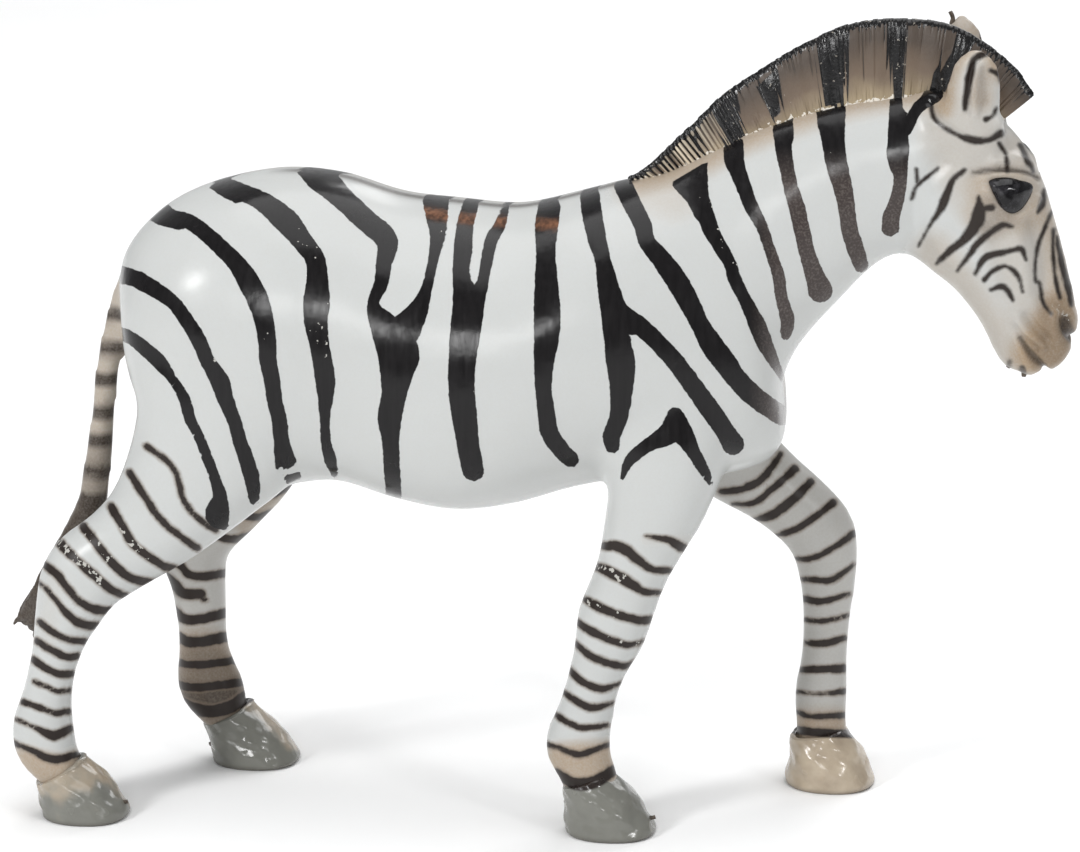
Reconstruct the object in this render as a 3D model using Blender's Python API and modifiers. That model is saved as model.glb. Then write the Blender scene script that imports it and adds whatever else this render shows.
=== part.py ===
"""Zebra figurine: a walking zebra moulded in one piece, standing on its four hooves.

X runs from the tail to the nose, Y to the zebra's left, Z up, and the soles lie in Z = 0.
The origin is on the ground, below the middle of the figure's length and width.
"""

import math

import bmesh
import bpy
import numpy as np
from mathutils import Matrix, Vector

# Driving dimensions, in metres.
STANDING_HEIGHT = 0.0913       # from the soles to the top of the mane
MANE_THICKNESS = 0.0032        # of the mane where it leaves the neck
LOCK_WIDTH = 0.0017            # from one lock of the mane to the next
LOCK_DEPTH = 0.0003            # of the groove between two locks
EAR_WALL = 0.0011              # of the cupped ears
EYE_RELIEF = 0.0005            # height of the eyeball above the cheek
HOOF_STEP = 0.0003             # overhang of the hoof wall at the coronet
MOUTH_GAP = 0.0005             # height of the slit between the lips
LIMB_ALLOWANCE = 0.0003        # added round each limb, which the relaxing of the skin takes off
SKIN_VOXEL = 0.0007            # grain in which the body's forms flow together
SKIN_SHARE = 0.055             # share of the flowing skin's facets that is kept

# The pose and girths below are shares of the standing height, written for a figure
# of 91.3 units, so that one unit is the scale of a millimetre.
UNIT = STANDING_HEIGHT / 91.3

# Body, neck and head: upper x, z and lower x, z of each section, half width, and how
# much broader the section is low down than high up.
BODY = (
    (-47.4, 61.8, -46.8, 55.0, 3.0, 0.0),
    (-46.3, 64.2, -46.0, 49.5, 8.0, 0.0),
    (-44.4, 66.6, -44.2, 45.0, 11.5, 0.0),
    (-41.0, 69.3, -40.6, 41.0, 13.8, 0.0),
    (-36.0, 71.4, -35.4, 38.2, 15.5, 0.0),
    (-29.3, 72.8, -28.8, 37.2, 16.0, 0.05),
    (-22.5, 72.4, -22.5, 37.9, 15.7, 0.08),
    (-15.7, 70.4, -15.7, 36.1, 16.3, 0.10),
    (-9.0, 69.7, -9.0, 35.0, 16.8, 0.10),
    (-2.2, 69.3, -2.2, 35.9, 16.6, 0.08),
    (4.5, 70.9, 4.5, 37.9, 15.7, 0.06),
    (9.0, 72.2, 12.0, 39.2, 14.6, 0.08),
    (13.4, 73.2, 20.0, 39.4, 13.2, 0.12),
    (16.8, 74.8, 26.2, 41.4, 11.4, 0.18),
    (20.0, 76.6, 27.8, 45.2, 9.8, 0.20),
    (24.0, 78.7, 27.3, 49.8, 8.6, 0.18),
    (28.5, 80.4, 29.2, 54.4, 7.6, 0.14),
    (33.3, 81.8, 33.4, 59.4, 6.7, 0.10),
    (39.4, 82.8, 37.6, 63.8, 6.0, 0.08),
    (45.0, 83.4, 40.8, 65.0, 6.0, 0.04),
    (50.2, 80.9, 43.9, 63.0, 6.4, -0.02),
    (53.6, 77.5, 46.4, 61.0, 6.5, -0.06),
    (55.9, 73.3, 48.1, 58.9, 5.9, -0.08),
    (57.1, 69.6, 49.5, 56.9, 5.1, -0.06),
    (58.2, 66.0, 50.4, 54.9, 4.4, -0.02),
    (59.1, 62.5, 51.3, 53.2, 4.0, 0.0),
    (59.9, 59.0, 52.7, 51.9, 4.0, 0.0),
    (59.6, 55.9, 55.0, 51.8, 3.7, 0.0),
    (58.9, 54.1, 57.1, 52.3, 2.2, 0.0),
)

# Each limb from the body down into the hoof: x, y and z of the axis, half depth, half width.
NEAR_FORELEG = (
    (14.6, -6.8, 56.0, 7.0, 4.6),
    (14.9, -7.8, 48.0, 7.6, 5.9),
    (14.7, -8.6, 42.6, 6.8, 5.8),
    (14.1, -9.1, 38.3, 5.6, 5.1),
    (12.6, -9.5, 33.8, 4.6, 4.4),
    (11.2, -9.8, 29.7, 3.9, 3.9),
    (9.5, -10.0, 25.0, 4.0, 3.9),
    (8.9, -10.1, 22.6, 3.8, 3.7),
    (7.8, -10.3, 19.4, 3.1, 3.0),
    (6.8, -10.5, 16.0, 2.9, 2.8),
    (6.0, -10.6, 12.7, 3.2, 3.0),
    (5.4, -10.7, 10.1, 3.6, 3.4),
    (6.0, -10.8, 8.0, 3.1, 3.2),
    (7.0, -10.8, 5.6, 2.9, 3.3),
    (8.2, -10.8, 3.4, 2.4, 2.8),
)
FAR_FORELEG = (
    (11.5, 6.4, 52.0, 6.6, 4.6),
    (16.8, 7.6, 44.0, 7.0, 5.6),
    (21.8, 8.2, 38.6, 5.1, 5.1),
    (25.4, 8.6, 35.7, 4.2, 4.5),
    (28.7, 8.9, 33.0, 3.95, 4.2),
    (31.2, 9.1, 30.2, 3.9, 4.0),
    (32.0, 9.3, 27.2, 3.5, 3.7),
    (32.2, 9.5, 23.6, 3.0, 3.1),
    (32.1, 9.7, 19.8, 2.6, 2.7),
    (31.9, 9.8, 15.6, 2.5, 2.7),
    (31.6, 9.9, 11.6, 2.85, 3.0),
    (31.5, 10.0, 9.4, 2.9, 3.1),
    (31.6, 10.0, 7.6, 2.7, 3.1),
    (31.8, 10.0, 5.0, 2.8, 3.2),
    (32.2, 10.0, 3.0, 2.4, 2.8),
)
NEAR_HIND_LEG = (
    (-32.0, -6.6, 60.0, 11.5, 5.5),
    (-33.2, -7.4, 52.0, 12.2, 7.6),
    (-34.8, -7.8, 45.6, 10.6, 7.7),
    (-38.0, -8.2, 40.0, 8.1, 6.7),
    (-42.2, -8.8, 34.6, 6.0, 5.5),
    (-46.4, -9.3, 31.0, 4.9, 4.7),
    (-50.4, -9.9, 28.0, 4.7, 4.3),
    (-52.2, -10.3, 24.2, 3.9, 3.8),
    (-53.4, -10.5, 20.6, 2.9, 3.2),
    (-54.3, -10.7, 17.0, 2.55, 2.9),
    (-55.0, -10.8, 13.6, 2.75, 2.9),
    (-55.5, -10.9, 10.2, 3.4, 3.3),
    (-55.0, -11.0, 7.6, 3.3, 3.4),
    (-53.6, -11.0, 5.4, 2.5, 3.4),
    (-52.0, -11.0, 3.2, 2.2, 2.8),
)
FAR_HIND_LEG = (
    (-32.0, 6.6, 59.0, 11.5, 5.5),
    (-34.5, 7.4, 50.8, 12.0, 7.6),
    (-36.0, 7.9, 43.4, 10.4, 7.4),
    (-37.4, 8.3, 37.6, 8.7, 6.4),
    (-39.2, 8.9, 33.0, 6.9, 5.5),
    (-40.8, 9.6, 29.0, 5.4, 4.7),
    (-41.5, 10.3, 25.4, 4.0, 4.1),
    (-41.2, 10.8, 22.2, 3.2, 3.5),
    (-40.9, 11.1, 18.6, 2.85, 3.0),
    (-40.8, 11.3, 15.2, 2.7, 2.8),
    (-40.6, 11.4, 12.4, 3.0, 2.9),
    (-40.1, 11.5, 9.4, 3.6, 3.3),
    (-39.0, 11.5, 7.2, 3.3, 3.4),
    (-38.0, 11.5, 5.2, 2.4, 3.3),
    (-36.4, 11.5, 3.2, 2.2, 2.8),
)
TAIL = (
    (-45.2, 0.0, 61.8, 1.2, 1.5),
    (-47.2, 0.0, 59.0, 1.0, 1.4),
    (-48.4, 0.0, 55.0, 1.0, 1.3),
    (-49.3, 0.0, 50.0, 1.2, 1.4),
    (-49.9, 0.0, 44.0, 1.3, 1.5),
    (-50.7, 0.0, 38.0, 1.5, 1.6),
    (-51.3, 0.0, 34.0, 1.6, 1.9),
    (-52.4, 0.0, 30.8, 1.9, 2.2),
    (-54.0, 0.0, 27.4, 2.1, 2.2),
    (-56.2, 0.0, 23.6, 1.9, 2.0),
    (-58.4, 0.0, 20.6, 1.3, 1.4),
)
TUFT_TIPS = ((-61.2, 18.7), (-58.8, 16.6))

# Each hoof: toe x and heel x on the ground, y, half width, and the coronet's x, z at its
# front and back.
HOOVES = (
    (14.1, 4.0, -10.8, 5.0, 8.9, 7.0, 3.9, 5.3),
    (37.8, 27.6, 10.0, 5.4, 34.2, 6.8, 28.1, 6.1),
    (-45.9, -55.7, -11.0, 5.0, -50.0, 6.7, -56.1, 3.7),
    (-29.7, -39.8, 11.5, 4.9, -34.2, 6.6, -40.3, 4.4),
)

# The mane: x, z of its root on the crest of the neck and x, z of its top.
MANE = (
    (10.3, 72.0, 10.0, 72.9),
    (13.4, 72.6, 12.6, 74.4),
    (17.4, 74.2, 16.1, 77.8),
    (22.0, 76.9, 20.6, 82.3),
    (27.4, 79.2, 26.4, 86.3),
    (33.3, 81.0, 32.9, 89.8),
    (39.0, 82.0, 39.2, 91.2),
    (43.6, 82.2, 45.0, 90.8),
    (46.8, 81.8, 49.6, 88.4),
    (49.0, 81.2, 52.8, 85.7),
    (51.0, 80.0, 54.7, 83.0),
)
MANE_TOP_SHARE = 0.55          # thickness at the top, as a share of that at the root

# Details of the head, given for the left side: centre, then half sizes.
EAR_CENTRE = (47.3, 5.4, 83.9)
EAR_HALF_SIZES = (3.9, 2.3, 5.9)
EAR_CUP_SHIFT = (0.9, 1.9, 0.5)
EAR_LEAN = math.radians(-14.0)
CHEEK = ((47.2, 2.7, 66.6), (4.6, 3.3, 4.4))
BROW = ((51.4, 4.3, 74.3), (3.4, 1.9, 1.3))
NOSE_WING = ((57.5, 2.4, 57.6), (2.0, 1.9, 2.5))
EYE_CENTRE = (52.2, 5.1, 71.7)
EYE_HALF_SIZES = (2.3, 1.65)
FACE_SLOPE = math.radians(-14.0)
NOSTRIL = (58.3, 3.9, 57.2)
NOSTRIL_HALF_SIZES = (0.7, 1.3)
MOUTH_CORNER = (54.5, 55.6)
MOUTH_NOTCH = (56.3, 52.3)
LIP_SIDE = 3.7

# The origin lies below the middle between the nose and the longer tip of the tuft.
MIDDLE_X = (max(row[0] for row in BODY) + min(tip[0] for tip in TUFT_TIPS)) / 2

SECTION_POINTS = 28            # round each limb and body section
SQUARENESS = 2.25              # superellipse power of the sections
CARVING_CUT = 1.2              # depth of the nostrils and the mouth, in units


def at(point):
    """A point of the pose, given in units, as its place in the part's frame."""
    return (Vector(point) - Vector((MIDDLE_X, 0.0, 0.0))) * UNIT


def smooth_rows(rows, count):
    """Rows of numbers resampled along a centripetal cubic curve through them."""
    rows = np.array(rows, dtype=float)
    ends = np.vstack((2 * rows[0] - rows[1], rows, 2 * rows[-1] - rows[-2]))
    place = np.linspace(0.0, len(rows) - 1.000001, count)
    first = place.astype(int)
    t = (place - first)[:, None]
    p0, p1, p2, p3 = (ends[first + k] for k in range(4))
    return 0.5 * (2 * p1 + (p2 - p0) * t + (2 * p0 - 5 * p1 + 4 * p2 - p3) * t ** 2
                  + (3 * p1 - p0 - 3 * p2 + p3) * t ** 3)


def ring(centre, along, across, breadth=0.0):
    """Superellipse round a centre; `along` and `across` are its half axes as vectors."""
    turn = np.linspace(0.0, 2 * math.pi, SECTION_POINTS, endpoint=False)
    cosine = np.cos(turn)
    sine = np.sin(turn)
    power = 2.0 / SQUARENESS
    lengthwise = np.sign(cosine) * np.abs(cosine) ** power
    sideways = np.sign(sine) * np.abs(sine) ** power * (1.0 - breadth * cosine)
    return centre + lengthwise[:, None] * along + sideways[:, None] * across


def loft(name, rings):
    """Closed mesh object through a list of rings of equal length."""
    mesh = bmesh.new()
    loops = [[mesh.verts.new(at(point)) for point in points] for points in rings]
    for lower, upper in zip(loops, loops[1:]):
        for k in range(len(lower)):
            following = (k + 1) % len(lower)
            mesh.faces.new((lower[k], lower[following], upper[following], upper[k]))
    mesh.faces.new(loops[0])
    mesh.faces.new(reversed(loops[-1]))
    bmesh.ops.recalc_face_normals(mesh, faces=mesh.faces[:])
    return finished(name, mesh)


def finished(name, mesh):
    """Object made from a bmesh, smooth shaded and linked to the guides."""
    data = bpy.data.meshes.new(name)
    mesh.to_mesh(data)
    mesh.free()
    data.shade_smooth()
    part = bpy.data.objects.new(name, data)
    guides.objects.link(part)
    part.hide_render = True
    part.display_type = "WIRE"
    return part


def ellipsoid(name, centre, half_sizes, turn=None, segments=20):
    """UV sphere stretched to its half sizes, turned, and set at its centre."""
    mesh = bmesh.new()
    bmesh.ops.create_uvsphere(mesh, u_segments=segments, v_segments=segments // 2, radius=1.0)
    place = Matrix.Translation(at(centre))
    if turn is not None:
        place = place @ turn.to_4x4()
    place = place @ Matrix.Diagonal((*(Vector(half_sizes) * UNIT), 1.0))
    bmesh.ops.transform(mesh, matrix=place, verts=mesh.verts[:])
    return finished(name, mesh)


def block(name, low, high):
    """Box between two corners, in units."""
    mesh = bmesh.new()
    bmesh.ops.create_cube(mesh, size=1.0)
    low = at(low)
    high = at(high)
    place = Matrix.Translation((low + high) / 2) @ Matrix.Diagonal((*(high - low), 1.0))
    bmesh.ops.transform(mesh, matrix=place, verts=mesh.verts[:])
    return finished(name, mesh)


def body_form():
    """Trunk, neck and head as one loft from the tail root to the lips."""
    rings = []
    for top_x, top_z, low_x, low_z, half_width, breadth in smooth_rows(BODY, 120):
        top = np.array((top_x, 0.0, top_z))
        low = np.array((low_x, 0.0, low_z))
        rings.append(ring((top + low) / 2, (top - low) / 2, np.array((0.0, half_width, 0.0)),
                          breadth))
    return loft("body_form", rings)


def limb_form(name, rows):
    """Leg or tail: sections square to an axis that bends in its own plane."""
    rows = smooth_rows(rows, 6 * len(rows))
    rows[:, 3:] += LIMB_ALLOWANCE / UNIT
    axis = rows[:, :3]
    run = np.gradient(axis, axis=0)
    run[:, 1] = 0.0
    run /= np.linalg.norm(run, axis=1)[:, None]
    rings = []
    for centre, heading, depth, width in zip(axis, run, rows[:, 3], rows[:, 4]):
        along = np.array((-heading[2], 0.0, heading[0])) * depth
        rings.append(ring(centre, along, np.array((0.0, width, 0.0))))
    return loft(name, rings)


def tuft_tip(name, tip):
    """Pointed lock at the end of the tail."""
    x, y, z, depth, width = TAIL[-2]
    rows = ((x, y, z, depth * 0.8, width * 0.9),
            ((x + tip[0]) / 2, y, (z + tip[1]) / 2, depth * 0.6, width * 0.6),
            (tip[0], y, tip[1], 0.35, 0.35))
    return limb_form(name, rows)


def hoof_form(name, toe, heel, y, half_width, front_x, front_z, back_x, back_z):
    """Hoof from below the ground to the coronet, cut level with the ground afterwards."""
    step = HOOF_STEP / UNIT
    rows = ((toe - 0.2, -1.5, heel + 0.3, -1.5, half_width * 0.97),
            (toe - 0.2, 0.0, heel + 0.3, 0.0, half_width * 0.97),
            (toe, 0.9, heel, 0.9, half_width),
            (toe + (front_x - toe) * 0.42, front_z / 2 + 0.6, (heel + back_x) / 2, back_z / 2 + 0.4,
             half_width * 0.93),
            (front_x + step, front_z, back_x - step, back_z, half_width * 0.78),
            (front_x - 0.5, front_z + 0.35, back_x + 0.4, back_z + 0.35, half_width * 0.66))
    rings = []
    for toe_x, toe_z, heel_x, heel_z, width in rows:
        toe_point = np.array((toe_x, y, toe_z))
        heel_point = np.array((heel_x, y, heel_z))
        rings.append(ring((toe_point + heel_point) / 2, (toe_point - heel_point) / 2,
                          np.array((0.0, width, 0.0)), -0.06))
    return loft(name, rings)


def mane_form():
    """Upright mane: a blade along the crest whose sides and top are grooved into locks."""
    rows = np.array(MANE)
    length = np.linalg.norm(np.diff(rows[:, :2], axis=0), axis=1).sum()
    locks = round(length * UNIT / LOCK_WIDTH)
    slices = smooth_rows(MANE, 4 * locks + 1)
    half_root = MANE_THICKNESS / UNIT / 2
    depth = LOCK_DEPTH / UNIT
    rings = []
    for k, (root_x, root_z, top_x, top_z) in enumerate(slices):
        groove = depth * (0.5 - 0.5 * math.cos(math.pi * k / 2))
        root = np.array((root_x, 0.0, root_z))
        top = np.array((top_x, 0.0, top_z))
        rise = (top - root) / np.linalg.norm(top - root)
        foot = root - 2.5 * rise
        crest = top - groove * rise
        points = []
        for share, thickness in ((0.0, 1.0), (0.3, 1.0), (0.9, MANE_TOP_SHARE), (1.0, 0.3)):
            half = max(half_root * thickness - (groove if share else 0.0), 0.1)
            points.append((foot + (crest - foot) * share, half))
        left = [spot + np.array((0.0, half, 0.0)) for spot, half in points]
        right = [spot - np.array((0.0, half, 0.0)) for spot, half in reversed(points)]
        rings.append(np.array(left + right))
    return loft("mane_form", rings)


def bulge(name, form, side):
    """Soft swelling on one side of the head, level with the slope of the face."""
    (x, y, z), half_sizes = form
    turn = Matrix.Rotation(-FACE_SLOPE, 3, "Y")
    return ellipsoid(name, (x, side * y, z), half_sizes, turn)


def ear_form(side):
    """One ear as a leaf that leans outwards, its foot sunk in the poll."""
    x, y, z = EAR_CENTRE
    return ellipsoid("ear_form", (x, side * y, z), EAR_HALF_SIZES,
                     Matrix.Rotation(side * EAR_LEAN, 3, "X"))


def ear_cup(side):
    """Cutter for the hollow of one ear, which opens outwards and forwards."""
    x, y, z = EAR_CENTRE
    lean = Matrix.Rotation(side * EAR_LEAN, 3, "X")
    forward, outward, upward = EAR_CUP_SHIFT
    shift = lean @ Vector((forward, side * outward, upward))
    wall = EAR_WALL / UNIT
    return ellipsoid("ear_cup", Vector((x, side * y, z)) + shift,
                     (EAR_HALF_SIZES[0] - wall - forward / 2, EAR_HALF_SIZES[1] - wall / 2,
                      EAR_HALF_SIZES[2] - wall), lean)


def eye_form(side):
    """Eyeball as a low lens on the side of the head."""
    x, y, z = EYE_CENTRE
    turn = Matrix.Rotation(-FACE_SLOPE, 3, "Y")
    return ellipsoid("eye_form", (x, side * y, z),
                     (EYE_HALF_SIZES[0], 0.8 + EYE_RELIEF / UNIT, EYE_HALF_SIZES[1]), turn, 16)


def nostril_form(side):
    """Cutter for one nostril."""
    x, y, z = NOSTRIL
    turn = Matrix.Rotation(-FACE_SLOPE, 3, "Y")
    return ellipsoid("nostril", (x, side * y, z),
                     (NOSTRIL_HALF_SIZES[0], CARVING_CUT, NOSTRIL_HALF_SIZES[1]), turn, 12)


def mouth_forms():
    """Cutters for the groove between the lips: one up each side and one across the notch."""
    corner = Vector((MOUTH_CORNER[0], 0.0, MOUTH_CORNER[1]))
    notch = Vector((MOUTH_NOTCH[0], 0.0, MOUTH_NOTCH[1]))
    run = notch - corner
    turn = Matrix.Rotation(-math.atan2(run.z, run.x), 3, "Y")
    gap = MOUTH_GAP / UNIT / 2
    sides = [ellipsoid("mouth_side", (corner + notch) / 2 + Vector((0.0, side * LIP_SIDE, 0.0)),
                       (run.length * 0.55, CARVING_CUT, gap), turn, 12) for side in (-1, 1)]
    across = ellipsoid("mouth_across", notch, (CARVING_CUT, LIP_SIDE, gap), turn, 16)
    return [*sides, across]


def add_boolean(part, operand, operation):
    """Boolean modifier with the exact solver."""
    modifier = part.modifiers.new(operand.name, "BOOLEAN")
    modifier.operation = operation
    modifier.solver = "EXACT"
    modifier.object = operand


def join_forms(name, forms):
    """One object that holds the meshes of several forms."""
    mesh = bmesh.new()
    for form in forms:
        mesh.from_mesh(form.data)
        bpy.data.objects.remove(form)
    return finished(name, mesh)


def plastic():
    """Milky white moulding plastic with a gloss coat."""
    material = bpy.data.materials.new("moulded_plastic")
    material.use_nodes = True
    shader = material.node_tree.nodes["Principled BSDF"]
    shader.inputs["Base Color"].default_value = (0.74, 0.77, 0.78, 1.0)
    shader.inputs["Roughness"].default_value = 0.3
    shader.inputs["Metallic"].default_value = 0.0
    return material


def build_zebra():
    """The whole figure: flowing skin, then the crisp carving, then the flat soles."""
    soft_forms = [body_form()]
    for name, rows in (("near_foreleg", NEAR_FORELEG), ("far_foreleg", FAR_FORELEG),
                       ("near_hind_leg", NEAR_HIND_LEG), ("far_hind_leg", FAR_HIND_LEG),
                       ("tail", TAIL)):
        soft_forms.append(limb_form(name, rows))
    for tip in TUFT_TIPS:
        soft_forms.append(tuft_tip("tuft_tip", tip))
    for side in (-1, 1):
        soft_forms.append(ear_form(side))
        soft_forms.append(bulge("cheek", CHEEK, side))
        soft_forms.append(bulge("brow", BROW, side))
        soft_forms.append(bulge("nose_wing", NOSE_WING, side))
    zebra = join_forms("zebra_figurine", soft_forms)
    guides.objects.unlink(zebra)
    model.objects.link(zebra)
    zebra.hide_render = False
    zebra.display_type = "TEXTURED"
    zebra.data.materials.append(plastic())

    skin = zebra.modifiers.new("flowing_skin", "REMESH")
    skin.mode = "VOXEL"
    skin.voxel_size = SKIN_VOXEL
    skin.use_smooth_shade = True
    relax = zebra.modifiers.new("relax", "SMOOTH")
    relax.factor = 0.5
    relax.iterations = 4
    thin = zebra.modifiers.new("fewer_facets", "DECIMATE")
    thin.ratio = SKIN_SHARE

    for row in HOOVES:
        add_boolean(zebra, hoof_form("hoof", *row), "UNION")
    add_boolean(zebra, mane_form(), "UNION")
    for side in (-1, 1):
        add_boolean(zebra, ear_cup(side), "DIFFERENCE")
        add_boolean(zebra, eye_form(side), "UNION")
        add_boolean(zebra, nostril_form(side), "DIFFERENCE")
    for groove in mouth_forms():
        add_boolean(zebra, groove, "DIFFERENCE")
    add_boolean(zebra, block("ground", (-80.0, -40.0, -10.0), (80.0, 40.0, 0.0)), "DIFFERENCE")
    return zebra


for old in list(bpy.data.objects):
    bpy.data.objects.remove(old)
model = bpy.data.collections.new("zebra_figurine")
guides = bpy.data.collections.new("guides")
bpy.context.scene.collection.children.link(model)
bpy.context.scene.collection.children.link(guides)
build_zebra()
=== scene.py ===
"""Looks of the zebra figurine: a walking zebra of soft plastic, moulded in one piece and
painted by hand.

Every form is worked out in figure units, about a millimetre each, in the pose's own axes:
x from the tail to the nose, y to the zebra's left, z up from the soles. The last step of each
piece turns units into metres in the row frame.
"""

import math

import bmesh
import bpy
import numpy as np
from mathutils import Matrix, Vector


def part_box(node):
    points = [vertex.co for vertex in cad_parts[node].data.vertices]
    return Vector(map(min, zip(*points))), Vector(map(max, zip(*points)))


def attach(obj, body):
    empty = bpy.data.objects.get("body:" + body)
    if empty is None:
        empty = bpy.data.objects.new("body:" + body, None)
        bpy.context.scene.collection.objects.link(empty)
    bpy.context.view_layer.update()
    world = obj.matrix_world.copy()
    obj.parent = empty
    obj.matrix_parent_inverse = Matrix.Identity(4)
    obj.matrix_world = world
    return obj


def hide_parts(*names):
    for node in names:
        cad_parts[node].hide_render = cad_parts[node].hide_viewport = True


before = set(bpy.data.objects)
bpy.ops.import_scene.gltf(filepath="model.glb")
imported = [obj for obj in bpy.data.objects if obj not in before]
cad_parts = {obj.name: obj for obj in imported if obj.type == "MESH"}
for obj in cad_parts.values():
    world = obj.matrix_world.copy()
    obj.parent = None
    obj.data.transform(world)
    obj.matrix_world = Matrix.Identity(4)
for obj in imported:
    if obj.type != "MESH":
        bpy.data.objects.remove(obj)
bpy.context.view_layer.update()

bl_info = {
    "name": "Zebra Figurine",
    "version": (1, 0, 0),
    "blender": (4, 5, 0),
    "location": "3D View > Sidebar > Zebra",
    "description": "Painted soft plastic zebra with a grooved mane, on a pale studio floor",
    "category": "Add Mesh",
}

NODE = "zebra_figurine"

# The figure is 91.3 units high, and its nose and tuft are equally far from x = -0.65.
UNITS_HIGH = 91.3
MIDDLE_X = -0.65
UNIT = (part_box(NODE)[1][2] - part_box(NODE)[0][2]) / UNITS_HIGH

# The photo's viewpoint: degrees round the figure and above the ground, and distances in units.
VIEW_TURN = math.radians(6.0)
VIEW_RISE = math.radians(14.0)
VIEW_DISTANCE = 620.0
VIEW_TARGET = np.array((0.0, 0.0, 44.0))
VIEW_POINT = VIEW_TARGET + VIEW_DISTANCE * np.array((
    math.sin(VIEW_TURN) * math.cos(VIEW_RISE),
    -math.cos(VIEW_TURN) * math.cos(VIEW_RISE),
    math.sin(VIEW_RISE)))
VIEW_LENS = 183.3
FILM_WIDTH = 36.0

# Body, neck and head: upper x, z and lower x, z of each section, half width, and how
# much broader the section is low down than high up.
BODY = (
    (-47.4, 61.8, -46.8, 55.0, 3.0, 0.0),
    (-46.3, 64.2, -46.0, 49.5, 8.0, 0.0),
    (-44.4, 66.6, -44.2, 45.0, 11.5, 0.0),
    (-41.0, 69.3, -40.6, 41.0, 13.8, 0.0),
    (-36.0, 71.4, -35.4, 38.2, 15.5, 0.0),
    (-29.3, 72.8, -28.8, 37.2, 16.0, 0.05),
    (-22.5, 72.4, -22.5, 37.9, 15.7, 0.08),
    (-15.7, 70.4, -15.7, 36.1, 16.3, 0.10),
    (-9.0, 69.7, -9.0, 35.0, 16.8, 0.10),
    (-2.2, 69.3, -2.2, 35.9, 16.6, 0.08),
    (4.5, 70.9, 4.5, 37.9, 15.7, 0.06),
    (9.0, 72.2, 12.0, 39.2, 14.6, 0.08),
    (13.4, 73.2, 20.0, 39.4, 13.2, 0.12),
    (16.8, 74.8, 26.2, 41.4, 11.4, 0.18),
    (20.0, 76.6, 27.8, 45.2, 9.8, 0.20),
    (24.0, 78.7, 27.3, 49.8, 8.6, 0.18),
    (28.5, 80.4, 29.2, 54.4, 7.6, 0.14),
    (33.3, 81.8, 33.4, 59.4, 6.7, 0.10),
    (39.4, 82.8, 37.6, 63.8, 6.0, 0.08),
    (45.0, 83.4, 40.8, 65.0, 6.0, 0.04),
    (50.2, 80.9, 43.9, 63.0, 6.4, -0.02),
    (53.6, 77.5, 46.4, 61.0, 6.5, -0.06),
    (55.9, 73.3, 48.1, 58.9, 5.9, -0.08),
    (57.1, 69.6, 49.5, 56.9, 5.1, -0.06),
    (58.2, 66.0, 50.4, 54.9, 4.4, -0.02),
    (59.1, 62.5, 51.3, 53.2, 4.0, 0.0),
    (59.9, 59.0, 52.7, 51.9, 4.0, 0.0),
    (59.6, 55.9, 55.0, 51.8, 3.7, 0.0),
    (58.9, 54.1, 57.1, 52.3, 2.2, 0.0),
)

# Each limb from the body down into the hoof: x, y and z of the axis, half depth, half width.
NEAR_FORELEG = (
    (14.6, -6.8, 56.0, 7.0, 4.6),
    (14.9, -7.8, 48.0, 7.6, 5.9),
    (14.7, -8.6, 42.6, 6.8, 5.8),
    (14.1, -9.1, 38.3, 5.6, 5.1),
    (12.6, -9.5, 33.8, 4.6, 4.4),
    (11.2, -9.8, 29.7, 3.9, 3.9),
    (9.5, -10.0, 25.0, 4.0, 3.9),
    (8.9, -10.1, 22.6, 3.8, 3.7),
    (7.8, -10.3, 19.4, 3.1, 3.0),
    (6.8, -10.5, 16.0, 2.9, 2.8),
    (6.0, -10.6, 12.7, 3.2, 3.0),
    (5.4, -10.7, 10.1, 3.6, 3.4),
    (6.0, -10.8, 8.0, 3.1, 3.2),
    (7.0, -10.8, 5.6, 2.9, 3.3),
    (8.2, -10.8, 3.4, 2.4, 2.8),
)
FAR_FORELEG = (
    (11.5, 6.4, 52.0, 6.6, 4.6),
    (16.8, 7.6, 44.0, 7.0, 5.6),
    (21.8, 8.2, 38.6, 5.1, 5.1),
    (25.4, 8.6, 35.7, 4.2, 4.5),
    (28.7, 8.9, 33.0, 3.95, 4.2),
    (31.2, 9.1, 30.2, 3.9, 4.0),
    (32.0, 9.3, 27.2, 3.5, 3.7),
    (32.2, 9.5, 23.6, 3.0, 3.1),
    (32.1, 9.7, 19.8, 2.6, 2.7),
    (31.9, 9.8, 15.6, 2.5, 2.7),
    (31.6, 9.9, 11.6, 2.85, 3.0),
    (31.5, 10.0, 9.4, 2.9, 3.1),
    (31.6, 10.0, 7.6, 2.7, 3.1),
    (31.8, 10.0, 5.0, 2.8, 3.2),
    (32.2, 10.0, 3.0, 2.4, 2.8),
)
NEAR_HIND_LEG = (
    (-32.0, -6.6, 60.0, 11.5, 5.5),
    (-33.2, -7.4, 52.0, 12.2, 7.6),
    (-34.8, -7.8, 45.6, 10.6, 7.7),
    (-38.0, -8.2, 40.0, 8.1, 6.7),
    (-42.2, -8.8, 34.6, 6.0, 5.5),
    (-46.4, -9.3, 31.0, 4.9, 4.7),
    (-50.4, -9.9, 28.0, 4.7, 4.3),
    (-52.2, -10.3, 24.2, 3.9, 3.8),
    (-53.4, -10.5, 20.6, 2.9, 3.2),
    (-54.3, -10.7, 17.0, 2.55, 2.9),
    (-55.0, -10.8, 13.6, 2.75, 2.9),
    (-55.5, -10.9, 10.2, 3.4, 3.3),
    (-55.0, -11.0, 7.6, 3.3, 3.4),
    (-53.6, -11.0, 5.4, 2.5, 3.4),
    (-52.0, -11.0, 3.2, 2.2, 2.8),
)
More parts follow.
